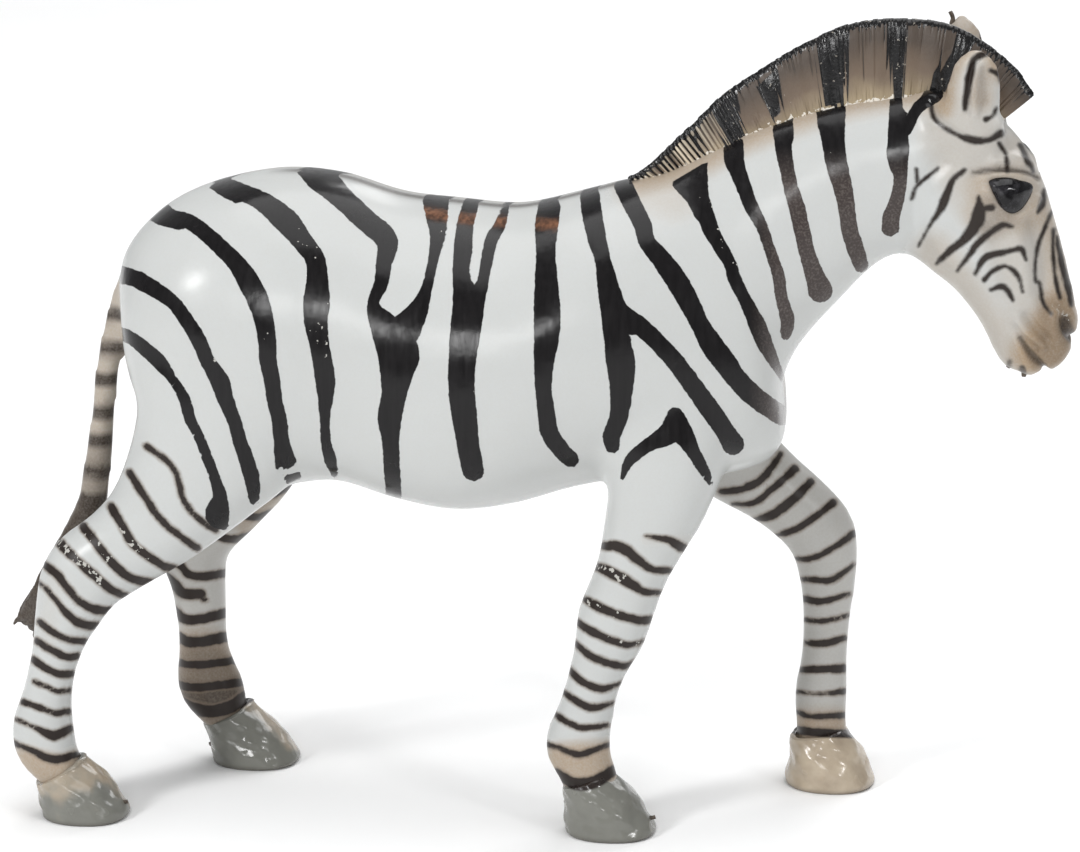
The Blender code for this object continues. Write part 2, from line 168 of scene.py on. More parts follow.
FAR_HIND_LEG = (
    (-32.0, 6.6, 59.0, 11.5, 5.5),
    (-34.5, 7.4, 50.8, 12.0, 7.6),
    (-36.0, 7.9, 43.4, 10.4, 7.4),
    (-37.4, 8.3, 37.6, 8.7, 6.4),
    (-39.2, 8.9, 33.0, 6.9, 5.5),
    (-40.8, 9.6, 29.0, 5.4, 4.7),
    (-41.5, 10.3, 25.4, 4.0, 4.1),
    (-41.2, 10.8, 22.2, 3.2, 3.5),
    (-40.9, 11.1, 18.6, 2.85, 3.0),
    (-40.8, 11.3, 15.2, 2.7, 2.8),
    (-40.6, 11.4, 12.4, 3.0, 2.9),
    (-40.1, 11.5, 9.4, 3.6, 3.3),
    (-39.0, 11.5, 7.2, 3.3, 3.4),
    (-38.0, 11.5, 5.2, 2.4, 3.3),
    (-36.4, 11.5, 3.2, 2.2, 2.8),
)
TAIL = (
    (-45.2, 0.0, 61.8, 1.2, 1.5),
    (-47.2, 0.0, 59.0, 1.0, 1.4),
    (-48.4, 0.0, 55.0, 1.0, 1.3),
    (-49.3, 0.0, 50.0, 1.2, 1.4),
    (-49.9, 0.0, 44.0, 1.3, 1.5),
    (-50.7, 0.0, 38.0, 1.5, 1.6),
    (-51.3, 0.0, 34.0, 1.6, 1.9),
    (-52.4, 0.0, 30.8, 1.9, 2.2),
    (-54.0, 0.0, 27.4, 2.1, 2.2),
    (-56.2, 0.0, 23.6, 1.9, 2.0),
    (-58.4, 0.0, 20.6, 1.3, 1.4),
)
TUFT_TIPS = ((-61.2, 18.7), (-58.8, 16.6))

# Each hoof: toe x and heel x on the ground, y, half width, and the coronet's x, z at its
# front and back, then how olive its paint is, from 0 for beige to 1.
HOOVES = (
    (14.1, 4.0, -10.8, 5.0, 8.9, 7.0, 3.9, 5.3, 1.0),
    (37.8, 27.6, 10.0, 5.4, 34.2, 6.6, 28.3, 5.5, 0.0),
    (-45.9, -55.7, -11.0, 5.0, -50.8, 6.6, -56.1, 3.6, 0.75),
    (-29.7, -39.8, 11.5, 4.9, -35.2, 6.7, -40.4, 4.4, 0.9),
)

# The mane: x, z of its root on the crest of the neck and x, z of its top.
MANE = (
    (10.3, 72.0, 9.8, 72.8),
    (13.6, 72.6, 11.9, 74.0),
    (17.4, 74.2, 15.0, 77.1),
    (20.2, 75.8, 17.5, 79.5),
    (23.2, 77.3, 20.4, 82.4),
    (27.4, 79.2, 25.0, 85.6),
    (31.0, 80.3, 29.4, 88.3),
    (34.8, 81.3, 34.2, 90.5),
    (39.0, 82.0, 39.2, 91.2),
    (43.6, 82.2, 45.0, 90.8),
    (46.8, 81.8, 49.6, 88.4),
    (49.0, 81.2, 52.8, 85.7),
    (51.0, 80.0, 54.7, 83.0),
)

# Details of the head, for the left side: centre, then half sizes.
EAR = ((48.3, 5.7, 84.0), (3.2, 1.9, 5.7))
FAR_EAR = ((46.4, 5.7, 84.9), (3.1, 1.9, 6.2))
EAR_FOOT = ((47.6, 4.5, 80.4), (4.4, 2.5, 2.9))
EAR_LEAN = math.radians(-14.0)
CHEEK = ((47.2, 2.7, 66.6), (4.6, 3.3, 4.4))
BROW = ((51.4, 4.3, 74.3), (3.4, 1.9, 1.3))
NOSE_WING = ((57.5, 2.4, 57.6), (2.0, 1.9, 2.5))
KNOB = ((43.6, 2.3, 82.9), (1.3, 1.4, 1.3))
FACE_SLOPE = math.radians(-14.0)

# Outline of the eye as seen on the middle plane, from its rear corner over the top.
EYE_OUTLINE = (
    (50.05, 73.1), (50.8, 73.4), (52.0, 73.45), (53.2, 73.15), (54.1, 72.7), (54.6, 72.15),
    (54.45, 71.4), (54.0, 70.65), (53.4, 70.0), (52.6, 69.7), (51.8, 70.0), (51.1, 70.75),
    (50.6, 71.7), (50.15, 72.6),
)

# Flash left where the mould parted: foot, tip and thickness of each nib.
FLASH_NIBS = (
    ((45.3, 6.5, 89.6), (45.1, 6.4, 91.0), 0.18),
    ((53.9, 0.0, 52.8), (54.2, 0.0, 51.1), 0.45),
    ((52.8, 0.0, 53.4), (52.4, 0.0, 52.1), 0.35),
    ((13.4, -10.8, 1.6), (14.15, -10.8, 1.75), 0.14),
    ((4.7, -10.8, 3.5), (3.9, -10.8, 3.1), 0.25),
    ((-39.2, 11.5, 2.3), (-40.2, 11.5, 1.6), 0.3),
    ((-46.6, -11.0, 1.5), (-45.9, -11.0, 1.6), 0.14),
)

SQUARENESS = 2.25              # superellipse power of every section
FAR_OFF = 3.0                  # paint distances are kept below this many units
LIMB_SWELL = 0.12              # added to a limb's half sizes, because relaxing thins it
NIB_TIP = 0.12                 # half thickness of a nib of flash at its tip
HEAD_START = 40.0              # x from which the skin is carved
LEG_TOP = 31.0                 # height up to which all of the skin is refined
BAND_MARGIN = 1.1              # skin within this distance of a leg band is refined too
LEG_OFFSET = 1.8               # legs and ears lie further than this from the middle plane
EYE_MIDDLE = (52.3, 71.7)      # middle of the eye, as seen on the middle plane
MUZZLE_MIDDLE = (56.5, 55.0)   # middle of the muzzle, as seen on the middle plane
EYE_OFFSET = 6.3               # distance of the eye from the middle plane
EYE_GROWTH = 1.06              # size of the eyeball's rim over that of the outline
EYE_LIFT = 0.12                # height of the eyeball's rim above the cheek
CHEEK_REACH = 0.62             # how far the skin counts where it is averaged under the eye
COMB_END = 23.0                # x where the comb of separate hairs low on the mane has ended
MANE_SUNK = 2.5                # how far the mane reaches down into the neck
LAMP_TARGET = (0.0, 0.0, 0.045)    # the figure's middle, in metres

# Lamps: place and size in metres, and power in watts.
LAMPS = {
    "key_lamp": ((-0.56, -0.6, 0.5), (0.15, 0.18), 3.9),
    "front_lamp": ((-0.08, -0.78, 0.33), (0.16, 0.12), 1.1),
    "side_lamp": ((0.64, -0.6, 0.4), (0.11, 0.11), 1.2),
    "overhead_lamp": ((0.1, 0.05, 1.0), (1.1, 0.9), 7.6),
    "back_lamp": ((0.3, 0.8, 0.6), (0.6, 0.4), 2.5),
}

# Colours that belong to one paint alone, as sRGB hex values.
SPRAYED_BROWN = "3C342E"
BAND_FRINGE = "75685B"
LINE_BROWN = "2B2420"
THIN_BLACK = "1D1B1C"
DUSTY_DARK = "403937"
DUSTY_PALE = "5C5551"
WARM_REFLECTION_BROWN = "8A5E44"
CHIPPED = "B4B2AC"
HAIR_LOW = "A69679"
HAIR_MIDDLE = "69594A"
HAIR_HIGH = "463B32"
GROOVE_BROWN = "3E362F"
COMB_CREAM = "D6C9B2"
ROOT_FLECK = "DCD6CB"
CREST_GLINT = "8B857C"
HOOF_BROWN = "8E7F6D"
HOOF_CREAM = "C8BAA5"
HOOF_FOOT_DARK = "4B463F"
EYE_BLACK = "121113"
EYE_REFLECTION_GREY = "39383B"
TORN_BEIGE = "6F6254"


def even(width, *points):
    """A stroke of one width through points of the middle plane."""
    return tuple((u, v, width) for u, v in points)


# Painted strokes as seen on the middle plane from the photo's viewpoint, which is where each
# of them is measured: along the figure, above the ground, and the width of the paint.
BODY_STRIPES = (
    ((-47.4, 60.7, 0.8), (-45.6, 59.8, 2.0), (-42.0, 57.6, 1.7), (-40.2, 55.3, 1.7),
     (-38.8, 53.0, 1.8), (-37.9, 50.7, 1.7), (-36.5, 48.4, 2.2), (-35.8, 46.1, 1.9),
     (-34.9, 43.8, 1.6), (-34.3, 41.5, 1.7), (-33.5, 39.1, 1.8), (-32.9, 36.8, 1.8),
     (-32.7, 34.5, 1.2)),
    ((-46.2, 52.8, 1.4), (-43.6, 50.6, 1.8), (-41.8, 48.3, 1.1), (-40.5, 46.0, 1.4),
     (-39.9, 43.7, 1.3), (-38.8, 41.4, 1.2), (-37.9, 39.0, 1.3), (-37.1, 36.7, 1.3),
     (-36.6, 34.4, 1.8), (-37.0, 32.6, 2.8), (-36.3, 31.4, 1.2)),
    ((-42.4, 67.4, 1.4), (-39.6, 66.6, 1.8), (-37.0, 64.6, 1.9), (-34.5, 62.1, 2.1),
     (-33.1, 60.1, 2.5), (-32.0, 57.8, 2.5), (-31.3, 55.5, 2.2), (-31.0, 53.2, 2.1),
     (-30.9, 50.9, 2.0), (-30.5, 48.6, 1.9), (-30.2, 46.2, 1.8), (-29.7, 43.9, 1.8),
     (-29.5, 41.6, 1.8), (-29.1, 40.2, 1.8), (-28.9, 39.2, 1.9)),
    ((-35.7, 70.9, 1.8), (-31.6, 69.3, 2.2), (-28.8, 67.1, 2.9), (-26.9, 64.8, 2.4),
     (-25.4, 62.6, 2.3), (-25.2, 60.3, 2.5), (-25.3, 58.0, 3.0), (-25.4, 55.6, 2.7),
     (-25.1, 53.3, 2.3), (-24.7, 51.0, 2.3), (-24.4, 48.7, 2.3), (-24.4, 46.4, 1.7),
     (-24.5, 44.1, 1.2), (-24.4, 41.7, 1.2), (-23.9, 39.4, 1.4), (-23.4, 37.7, 0.8)),
    ((-25.0, 72.3, 2.6), (-19.9, 67.5, 2.6), (-17.3, 65.1, 2.5), (-17.6, 62.5, 1.8),
     (-18.0, 59.9, 1.6), (-18.9, 57.4, 1.4), (-17.5, 55.0, 3.4), (-16.1, 52.2, 4.8),
     (-16.3, 49.7, 3.7), (-16.6, 47.1, 2.8), (-17.1, 44.5, 2.8), (-17.0, 41.9, 2.0),
     (-16.9, 39.3, 1.9), (-16.7, 35.5, 1.8)),
    ((-11.7, 69.4, 3.0), (-11.6, 67.5, 2.3), (-11.6, 65.3, 1.6), (-12.2, 62.1, 1.1),
     (-13.0, 59.0, 1.4), (-14.0, 56.7, 2.5), (-15.4, 54.6, 3.6)),
    ((-7.8, 69.2, 1.8), (-8.4, 67.0, 1.9), (-8.7, 63.9, 2.1), (-8.9, 60.7, 1.9),
     (-8.1, 58.0, 3.5), (-8.5, 54.4, 3.4), (-8.8, 51.3, 3.1), (-8.9, 48.1, 3.0),
     (-8.6, 45.0, 2.9), (-8.2, 41.8, 2.6), (-7.6, 38.6, 2.5)),
    ((-3.9, 69.0, 0.9), (-4.5, 67.0, 1.3), (-5.4, 65.5, 1.4), (-5.8, 64.0, 1.4),
     (-6.4, 60.8, 1.3), (-7.0, 58.3, 1.6)),
    ((1.05, 69.3, 2.5), (0.75, 67.1, 2.6), (0.65, 64.0, 2.2), (0.7, 60.9, 2.6),
     (0.8, 57.8, 3.0), (0.75, 54.6, 2.9), (0.45, 51.5, 2.3), (0.4, 48.3, 1.9),
     (0.75, 45.2, 2.0), (1.1, 43.2, 2.1), (2.3, 41.4, 2.0), (3.5, 40.2, 1.9)),
    ((5.6, 70.7, 2.2), (5.8, 68.8, 2.3), (6.4, 65.7, 2.1), (7.1, 63.2, 1.8), (7.5, 61.0, 2.3),
     (8.3, 57.5, 3.0), (8.6, 54.7, 2.9), (9.1, 51.6, 3.3), (9.2, 48.4, 2.6), (8.9, 45.3, 2.1),
     (8.1, 43.1, 2.0), (8.2, 41.8, 1.6)),
    ((8.5, 57.6, 2.4), (9.6, 56.7, 2.6), (11.75, 55.4, 2.1), (14.85, 52.3, 2.1),
     (17.9, 48.2, 2.2), (19.5, 46.0, 2.3), (21.0, 43.8, 2.2), (21.8, 42.5, 2.6)),
    ((15.3, 45.6, 2.0), (14.8, 43.7, 2.6), (12.4, 42.2, 1.6), (10.2, 40.3, 1.3),
     (9.3, 38.1, 0.4)),
    ((15.3, 45.6, 2.0), (16.4, 43.2, 2.2), (17.3, 41.5, 1.6), (18.7, 39.1, 1.2),
     (19.4, 37.7, 0.5)),
    ((9.4, 71.7, 2.2), (10.3, 69.8, 2.1), (11.5, 67.4, 2.0), (12.0, 65.5, 1.9),
     (13.5, 63.7, 2.2), (15.3, 61.2, 2.5), (16.6, 59.0, 2.4), (18.0, 56.2, 2.1),
     (19.4, 53.8, 2.6), (20.8, 51.9, 2.6), (22.1, 50.1, 2.4), (24.2, 48.0, 2.4),
     (27.2, 45.9, 2.2)),
    ((17.9, 71.0, 1.6), (18.3, 69.7, 1.9), (18.8, 67.9, 1.9), (19.7, 65.9, 1.7),
     (21.2, 63.4, 1.5), (21.9, 61.3, 1.5), (23.2, 58.8, 1.5), (24.4, 56.3, 1.9),
     (25.4, 53.9, 1.8), (27.5, 49.8, 0.4)),
    ((21.6, 76.5, 2.3), (21.7, 74.9, 2.2), (22.6, 72.4, 1.7), (23.6, 69.8, 1.6),
     (24.9, 67.3, 1.3), (25.8, 64.7, 1.3), (26.7, 62.1, 1.4), (27.1, 59.5, 1.4),
     (27.8, 56.9, 1.6), (27.6, 55.2, 1.2)),
    ((26.9, 79.3, 2.0), (27.0, 77.5, 1.9), (27.4, 74.9, 1.7), (27.9, 72.4, 1.6),
     (28.7, 69.8, 1.8), (29.3, 67.2, 1.8), (29.9, 64.6, 1.8), (30.8, 62.0, 2.2),
     (31.4, 60.4, 2.8)),
    ((32.3, 81.7, 3.2), (32.3, 80.2, 3.1), (32.6, 77.6, 2.6), (33.0, 75.0, 2.4),
     (33.7, 72.4, 2.2), (34.2, 69.9, 1.9), (34.6, 67.3, 1.9), (35.4, 64.8, 1.9),
     (35.9, 63.4, 1.7)),
    ((39.7, 83.8, 1.5), (39.5, 81.8, 1.4), (39.8, 77.2, 2.4), (39.8, 75.5, 2.3),
     (40.1, 73.3, 1.5), (39.8, 71.0, 1.6), (39.2, 69.0, 1.9), (39.1, 67.7, 2.0)),
    ((40.7, 78.9, 1.4), (41.8, 81.1, 1.3), (43.0, 82.2, 1.6), (43.6, 82.9, 2.2)),
)

# Straight-edged ends of the stripes, where the brush was set down or the mask ended.
STRIPE_ENDS = (
    ((-48.8, 61.6), (-46.6, 61.2), (-44.6, 60.5), (-44.9, 58.7), (-46.9, 59.2), (-48.8, 59.4)),
    ((-48.6, 54.5), (-46.6, 54.0), (-44.5, 52.6), (-44.9, 51.2), (-46.8, 52.3), (-48.6, 53.2)),
    ((-45.6, 67.6), (-43.0, 70.0), (-41.7, 68.2), (-38.9, 66.9), (-40.6, 65.6), (-43.2, 66.2)),
    ((-37.5, 70.7), (-35.2, 71.8), (-32.5, 70.8), (-34.2, 68.8), (-35.9, 69.6)),
    ((-27.5, 72.7), (-23.2, 73.0), (-21.5, 70.8), (-23.6, 69.2), (-25.9, 70.8)),
    ((-30.4, 41.0), (-28.4, 41.0), (-27.7, 38.9), (-28.4, 38.4), (-29.0, 38.6), (-30.2, 38.1)),
    ((-29.5, 37.5), (-28.6, 37.6), (-27.4, 38.0), (-27.2, 37.2), (-28.9, 36.4)),
    ((14.5, 72.2), (16.5, 73.5), (18.7, 74.8), (18.8, 72.0), (19.1, 68.9), (17.6, 67.9),
     (16.4, 70.2)),
    ((20.4, 76.1), (22.7, 77.3), (22.8, 74.6), (20.8, 74.4)),
    ((25.9, 79.4), (28.1, 80.6), (28.3, 77.0), (26.2, 76.9)),
    ((30.7, 81.4), (34.0, 82.7), (33.9, 78.6), (30.9, 78.6)),
)

HEAD_LINES = (
    ((43.3, 81.9, 0.4), (43.7, 80.2, 0.4), (44.9, 79.1, 0.35), (46.6, 78.2, 0.4),
     (47.6, 77.9, 0.8), (48.8, 77.7, 0.7), (50.0, 77.9, 0.5), (51.1, 78.6, 0.8)),
    even(0.35, (50.9, 77.5), (51.7, 76.2), (51.9, 74.4)),
    ((47.1, 81.3, 0.45), (47.3, 83.25, 0.65), (47.6, 85.3, 0.8), (48.0, 86.8, 0.6),
     (48.8, 87.3, 0.6), (49.6, 87.4, 0.3)),
    even(0.5, (49.9, 85.6), (50.8, 85.1), (51.2, 84.3)),
    ((49.4, 80.1, 0.5), (50.1, 80.5, 0.35), (50.6, 81.4, 0.2)),
    even(0.3, (41.9, 74.4), (42.0, 72.9)),
    even(0.35, (44.2, 74.5), (42.0, 72.5), (41.4, 71.0)),
    ((47.2, 74.4, 0.5), (45.9, 73.2, 0.5), (45.2, 71.3, 0.9), (44.6, 69.9, 0.7),
     (43.5, 68.1, 0.3), (42.2, 65.6, 0.1)),
    ((48.8, 71.4, 0.3), (48.9, 69.6, 1.4), (48.3, 67.9, 1.3), (46.9, 66.2, 0.9),
     (45.5, 65.0, 0.7), (44.3, 63.8, 0.3)),
    ((48.6, 69.4, 0.8), (49.5, 70.1, 0.6), (50.3, 70.2, 0.6)),
    ((52.6, 68.1, 0.3), (51.5, 68.3, 0.6), (50.1, 67.3, 0.6), (48.7, 66.0, 0.7),
     (47.9, 64.8, 0.5), (46.6, 63.0, 0.3)),
    ((54.2, 64.4, 0.2), (53.6, 65.6, 0.5), (52.2, 65.3, 0.5), (50.2, 64.8, 0.7),
     (49.3, 64.1, 0.6), (48.6, 62.7, 0.3)),
    ((53.9, 60.8, 0.3), (53.3, 62.6, 0.5), (51.9, 63.6, 0.4), (50.5, 63.0, 0.5),
     (49.6, 62.0, 0.4)),
    ((52.8, 59.8, 0.3), (52.2, 60.9, 0.6), (51.4, 61.3, 0.6), (50.4, 60.9, 0.4)),
    even(0.32, (56.9, 69.9), (56.1, 67.9), (55.4, 65.8), (55.2, 63.2), (55.3, 62.0),
         (55.7, 61.7), (56.2, 59.5), (57.1, 58.3)),
    even(0.35, (57.2, 67.9), (57.1, 66.2), (57.3, 63.6), (57.5, 62.1), (58.0, 60.2)),
    ((57.5, 67.1, 0.3), (58.1, 64.2, 0.6), (58.9, 61.4, 0.7), (59.3, 59.4, 0.4)),
    ((53.3, 77.3, 0.5), (54.1, 75.6, 0.55), (54.8, 74.4, 0.3)),
    ((56.0, 72.3, 0.3), (55.9, 71.0, 0.7), (55.4, 69.8, 0.3)),
)

NEAR_BANDS = (
    even(0.7, (-45.0, 40.5), (-42.0, 38.0), (-40.8, 34.2), (-39.0, 32.0), (-37.2, 30.8)),
    even(0.85, (-47.0, 37.3), (-45.5, 34.8), (-43.6, 32.0), (-41.5, 30.1), (-39.3, 28.6)),
    even(1.0, (-49.2, 33.2), (-48.2, 31.4), (-46.8, 28.9), (-45.0, 27.5), (-43.3, 26.4),
         (-41.9, 26.0)),
    even(1.05, (-52.5, 30.8), (-51.3, 29.2), (-49.9, 27.3), (-48.3, 25.7), (-46.7, 24.7),
         (-44.6, 24.3)),
    ((-57.2, 30.8, 0.5), (-55.7, 29.3, 1.0), (-54.4, 27.8, 1.1), (-53.2, 26.7, 1.0),
     (-51.2, 24.9, 1.1), (-49.2, 23.3, 1.0), (-46.9, 22.4, 0.7)),
    ((-59.0, 27.4, 0.6), (-57.2, 26.2, 0.9), (-55.7, 25.0, 1.0), (-54.3, 23.2, 0.9),
     (-52.9, 21.7, 0.9), (-50.9, 20.9, 1.1), (-48.6, 21.0, 0.6)),
    ((-59.0, 25.0, 0.4), (-57.2, 23.5, 0.5), (-55.8, 21.9, 0.6), (-54.6, 20.4, 0.9),
     (-53.0, 19.2, 1.1), (-50.7, 19.0, 0.8)),
    even(0.8, (-57.8, 19.3), (-56.3, 18.1), (-54.4, 17.3), (-52.3, 17.1)),
    even(0.85, (-58.2, 17.0), (-56.4, 15.9), (-54.8, 15.2), (-53.4, 15.3)),
    even(0.9, (-58.7, 14.8), (-57.1, 13.7), (-55.5, 13.1), (-54.1, 13.2)),
    even(0.6, (-58.6, 12.1), (-57.1, 11.5), (-55.8, 11.0), (-54.5, 11.2)),
    even(0.75, (-60.0, 9.6), (-58.0, 9.0), (-56.2, 8.4), (-54.6, 8.7)),
    ((-60.8, 7.5, 0.5), (-58.7, 6.6, 0.6), (-56.5, 5.7, 1.2), (-54.5, 6.6, 0.9)),
    ((-61.3, 4.7, 0.7), (-59.1, 3.8, 0.7), (-56.5, 2.8, 1.1), (-53.8, 3.5, 0.8)),
    ((12.0, 31.5, 0.3), (14.5, 31.1, 0.8), (16.3, 30.2, 1.1), (17.4, 30.2, 0.5)),
    ((6.8, 30.2, 0.8), (9.2, 30.1, 1.3), (11.1, 28.7, 1.1), (12.9, 27.6, 0.9),
     (15.4, 27.5, 0.6)),
    ((6.4, 27.8, 1.0), (8.0, 27.1, 1.3), (9.8, 26.2, 1.3), (11.7, 25.0, 0.9),
     (13.8, 24.9, 0.5)),
    ((4.9, 24.0, 0.7), (6.5, 23.1, 1.1), (9.0, 22.1, 1.0), (11.2, 21.6, 1.0),
     (12.9, 21.7, 0.9)),
    ((4.2, 21.2, 0.8), (5.9, 20.1, 1.0), (8.1, 19.1, 0.9), (10.3, 18.6, 0.7),
     (12.3, 19.4, 0.3)),
    ((3.9, 18.8, 0.6), (5.6, 17.3, 0.9), (7.8, 16.4, 0.9), (9.7, 16.1, 0.8),
     (11.1, 16.8, 0.4)),
    ((3.3, 15.6, 0.8), (4.7, 14.2, 0.9), (6.8, 13.3, 0.9), (8.4, 13.7, 0.6),
     (9.7, 14.3, 0.3)),
    ((2.7, 12.8, 0.6), (4.4, 11.6, 0.9), (6.2, 11.0, 0.9), (8.4, 11.7, 0.4)),
    ((1.8, 10.1, 0.6), (3.1, 9.2, 0.8), (5.0, 8.6, 0.8), (7.8, 9.0, 0.5)),
    ((0.5, 6.6, 0.7), (2.2, 6.1, 0.7), (4.4, 5.4, 0.8), (6.2, 6.0, 0.7), (8.0, 6.7, 0.6)),
    ((1.8, 3.1, 1.2), (2.9, 2.4, 1.3), (4.5, 1.8, 1.5), (6.5, 2.3, 1.5), (8.7, 3.8, 1.2)),
)
FAR_BANDS = (
    even(1.0, (-47.5, 31.4), (-44.6, 29.2), (-42.6, 27.8), (-41.2, 26.4), (-40.3, 25.4),
         (-38.4, 25.3), (-35.6, 25.9)),
    even(1.3, (-44.6, 26.2), (-42.2, 24.4), (-41.0, 23.2), (-39.1, 23.2)),
    even(0.5, (-38.8, 22.5), (-38.4, 22.5)),
    even(1.2, (-44.4, 22.6), (-42.2, 21.2), (-41.0, 20.2), (-39.2, 20.2), (-35.4, 21.2)),
    even(1.3, (-43.8, 18.8), (-41.9, 18.1), (-39.9, 17.4), (-35.0, 18.4)),
    even(1.0, (-43.8, 15.6), (-41.9, 15.0), (-39.6, 14.7), (-34.6, 15.5)),
    even(1.1, (-44.0, 13.0), (-42.1, 12.4), (-39.7, 12.0), (-33.8, 12.9)),
    even(1.6, (-42.4, 10.6), (-40.7, 9.7), (-38.2, 9.2), (-35.8, 9.8), (-33.6, 11.3)),
    even(0.9, (-27.0, 37.4), (-29.6, 35.6), (-31.6, 35.2), (-35.5, 36.8), (-39.5, 39.6),
         (-43.5, 43.2)),
    even(0.9, (-28.6, 34.0), (-31.8, 32.6), (-34.0, 32.7), (-37.5, 34.2), (-41.5, 37.0),
         (-45.5, 40.4)),
    even(1.0, (-31.4, 30.9), (-34.8, 29.8), (-37.0, 30.2), (-40.5, 31.6), (-43.8, 34.2),
         (-47.0, 37.0)),
    ((20.5, 36.9, 0.7), (23.0, 37.3, 0.9), (25.4, 38.8, 0.9), (27.2, 41.5, 0.6)),
    ((21.8, 35.5, 0.4), (24.2, 35.7, 0.7), (26.3, 37.4, 0.8), (28.8, 39.8, 1.0)),
    ((23.9, 33.7, 0.4), (26.0, 34.2, 1.0), (28.4, 36.0, 1.1), (30.6, 38.3, 0.9)),
    ((26.5, 31.9, 0.5), (28.7, 32.6, 0.8), (31.1, 34.2, 0.8), (33.2, 36.0, 0.9)),
    ((28.7, 29.3, 0.4), (30.8, 29.4, 0.7), (33.2, 30.7, 0.7), (35.6, 32.5, 0.9)),
    ((29.1, 27.0, 0.5), (31.1, 26.9, 0.7), (33.2, 27.0, 0.8), (35.7, 28.9, 0.4)),
    ((29.9, 24.7, 0.8), (32.0, 24.4, 0.8), (35.1, 25.4, 0.5)),
    ((29.9, 22.2, 0.6), (32.3, 22.1, 0.6), (35.1, 22.9, 0.5)),
    ((30.2, 19.5, 0.5), (32.4, 19.5, 0.9), (34.7, 20.2, 0.7)),
    ((29.2, 16.3, 0.8), (31.8, 16.4, 0.9), (34.6, 16.6, 1.1)),
    ((29.2, 13.7, 0.5), (31.8, 13.5, 0.4), (34.9, 13.9, 0.8)),
    ((29.1, 11.4, 0.5), (31.0, 10.8, 0.7), (34.8, 11.1, 0.8)),
    ((27.6, 9.6, 0.9), (29.6, 9.1, 1.0), (31.9, 8.9, 1.1), (36.4, 8.9, 1.0)),
)
TAIL_BANDS = tuple(
    (0.95, 0.7, even(0.9, (u - 2.2, v + 0.2), (u, v - 0.1), (u + 2.2, v + 0.1)))
    for u, v in ((-48.8, 55.8), (-49.3, 51.8), (-49.7, 48.2), (-50.2, 44.4), (-50.3, 41.0),
                 (-50.6, 37.4), (-50.8, 34.0)))

# Airbrushed shading: strength, how far the spray fades out, and the stroke it was laid along.
# The near and far groups lie on the legs of that side alone, the far one on its ear too.
BEIGE_MIST = (
    (0.42, 5.0, ((46.5, 79.0, 5.0), (50.0, 73.0, 6.0), (54.0, 66.0, 5.0), (56.0, 59.0, 4.0))),
    (0.4, 3.0, ((44.0, 65.0, 1.5), (48.0, 59.0, 2.5), (51.5, 54.0, 2.0))),
    (1.0, 2.6, ((57.9, 58.5, 2.0), (57.4, 55.5, 4.0), (55.4, 53.6, 2.6))),
    (0.5, 2.4, ((56.8, 70.0, 1.0), (58.2, 64.0, 1.4), (58.8, 60.0, 2.5))),
    (0.5, 2.4, ((49.5, 72.5, 1.5), (52.5, 72.0, 3.0), (53.5, 69.5, 2.0))),
    (0.35, 2.5, ((53.5, 78.0, 0.5), (55.6, 74.0, 0.5))),
    (0.55, 2.2, ((49.6, 85.6, 0.5), (48.9, 84.2, 0.8), (48.9, 82.8, 0.8))),
    (0.7, 1.5, ((44.9, 81.2, 0.4), (45.4, 84.0, 0.4), (46.4, 86.6, 0.4), (48.0, 88.2, 0.5),
                (50.0, 87.4, 0.5), (51.2, 85.0, 0.2))),
    (0.75, 2.6, ((10.3, 72.3, 0.3), (17.4, 74.4, 0.3), (22.0, 77.0, 0.4), (27.4, 79.3, 0.5),
                 (33.3, 81.4, 0.6), (39.0, 82.6, 0.6), (43.6, 82.6, 0.6))),
    (0.35, 4.5, ((11.0, 71.8, 1.5), (15.0, 71.0, 2.0))),
    (0.3, 1.6, ((48.8, 69.5, 2.0), (50.5, 68.2, 1.6))),
)
NEAR_MIST = (
    (0.85, 2.4, ((2.8, 4.2, 3.2), (7.8, 4.6, 3.2))),
    (0.85, 2.6, ((-60.0, 1.8, 2.6), (-55.5, 0.6, 3.4), (-52.0, 2.0, 3.0))),
    (0.3, 3.0, ((-57.0, 17.0, 0.6), (-56.0, 24.0, 0.6))),
    (0.3, 1.2, ((12.0, 31.0, 0.6), (17.0, 31.2, 0.6))),
)
FAR_MIST = (
    (0.8, 2.4, ((28.0, 9.2, 2.2), (35.6, 9.4, 2.2))),
    (0.85, 5.5, ((-39.2, 13.6, 7.0), (-38.0, 8.0, 9.0))),
    (0.5, 2.5, ((45.6, 91.0, 2.0), (48.6, 88.4, 3.0))),
    (0.6, 1.8, ((-30.0, 35.4, 2.0), (-33.0, 31.5, 2.0))),
)
DARK_MIST = (
    (0.4, 2.6, ((57.6, 58.4, 1.6), (57.9, 55.8, 2.5), (56.6, 53.8, 1.6))),
    (0.9, 0.6, ((58.6, 57.7, 0.5), (58.8, 56.7, 0.9), (59.4, 55.8, 0.7))),
    (0.75, 0.4, ((56.4, 52.4, 0.2), (55.2, 53.4, 0.4), (54.5, 54.3, 0.3), (53.7, 55.5, 0.1))),
    (0.75, 0.35, even(0.15, (48.4, 74.1), (49.6, 74.35), (52.0, 74.45), (54.3, 74.15),
                      (55.3, 73.6))),
    (0.35, 2.2, even(0.6, (50.3, 70.4), (51.6, 69.2), (50.0, 68.0))),
    (0.15, 1.8, ((48.9, 84.4, 0.9), (48.9, 82.8, 0.9))),
    (0.95, 0.3, ((54.2, 51.3, 0.4), (54.0, 52.0, 0.5))),
    (0.8, 0.3, ((52.5, 52.2, 0.2), (52.6, 52.8, 0.3))),
    (0.85, 0.25, ((45.4, 91.6, 0.3), (45.5, 90.9, 0.4))),
)
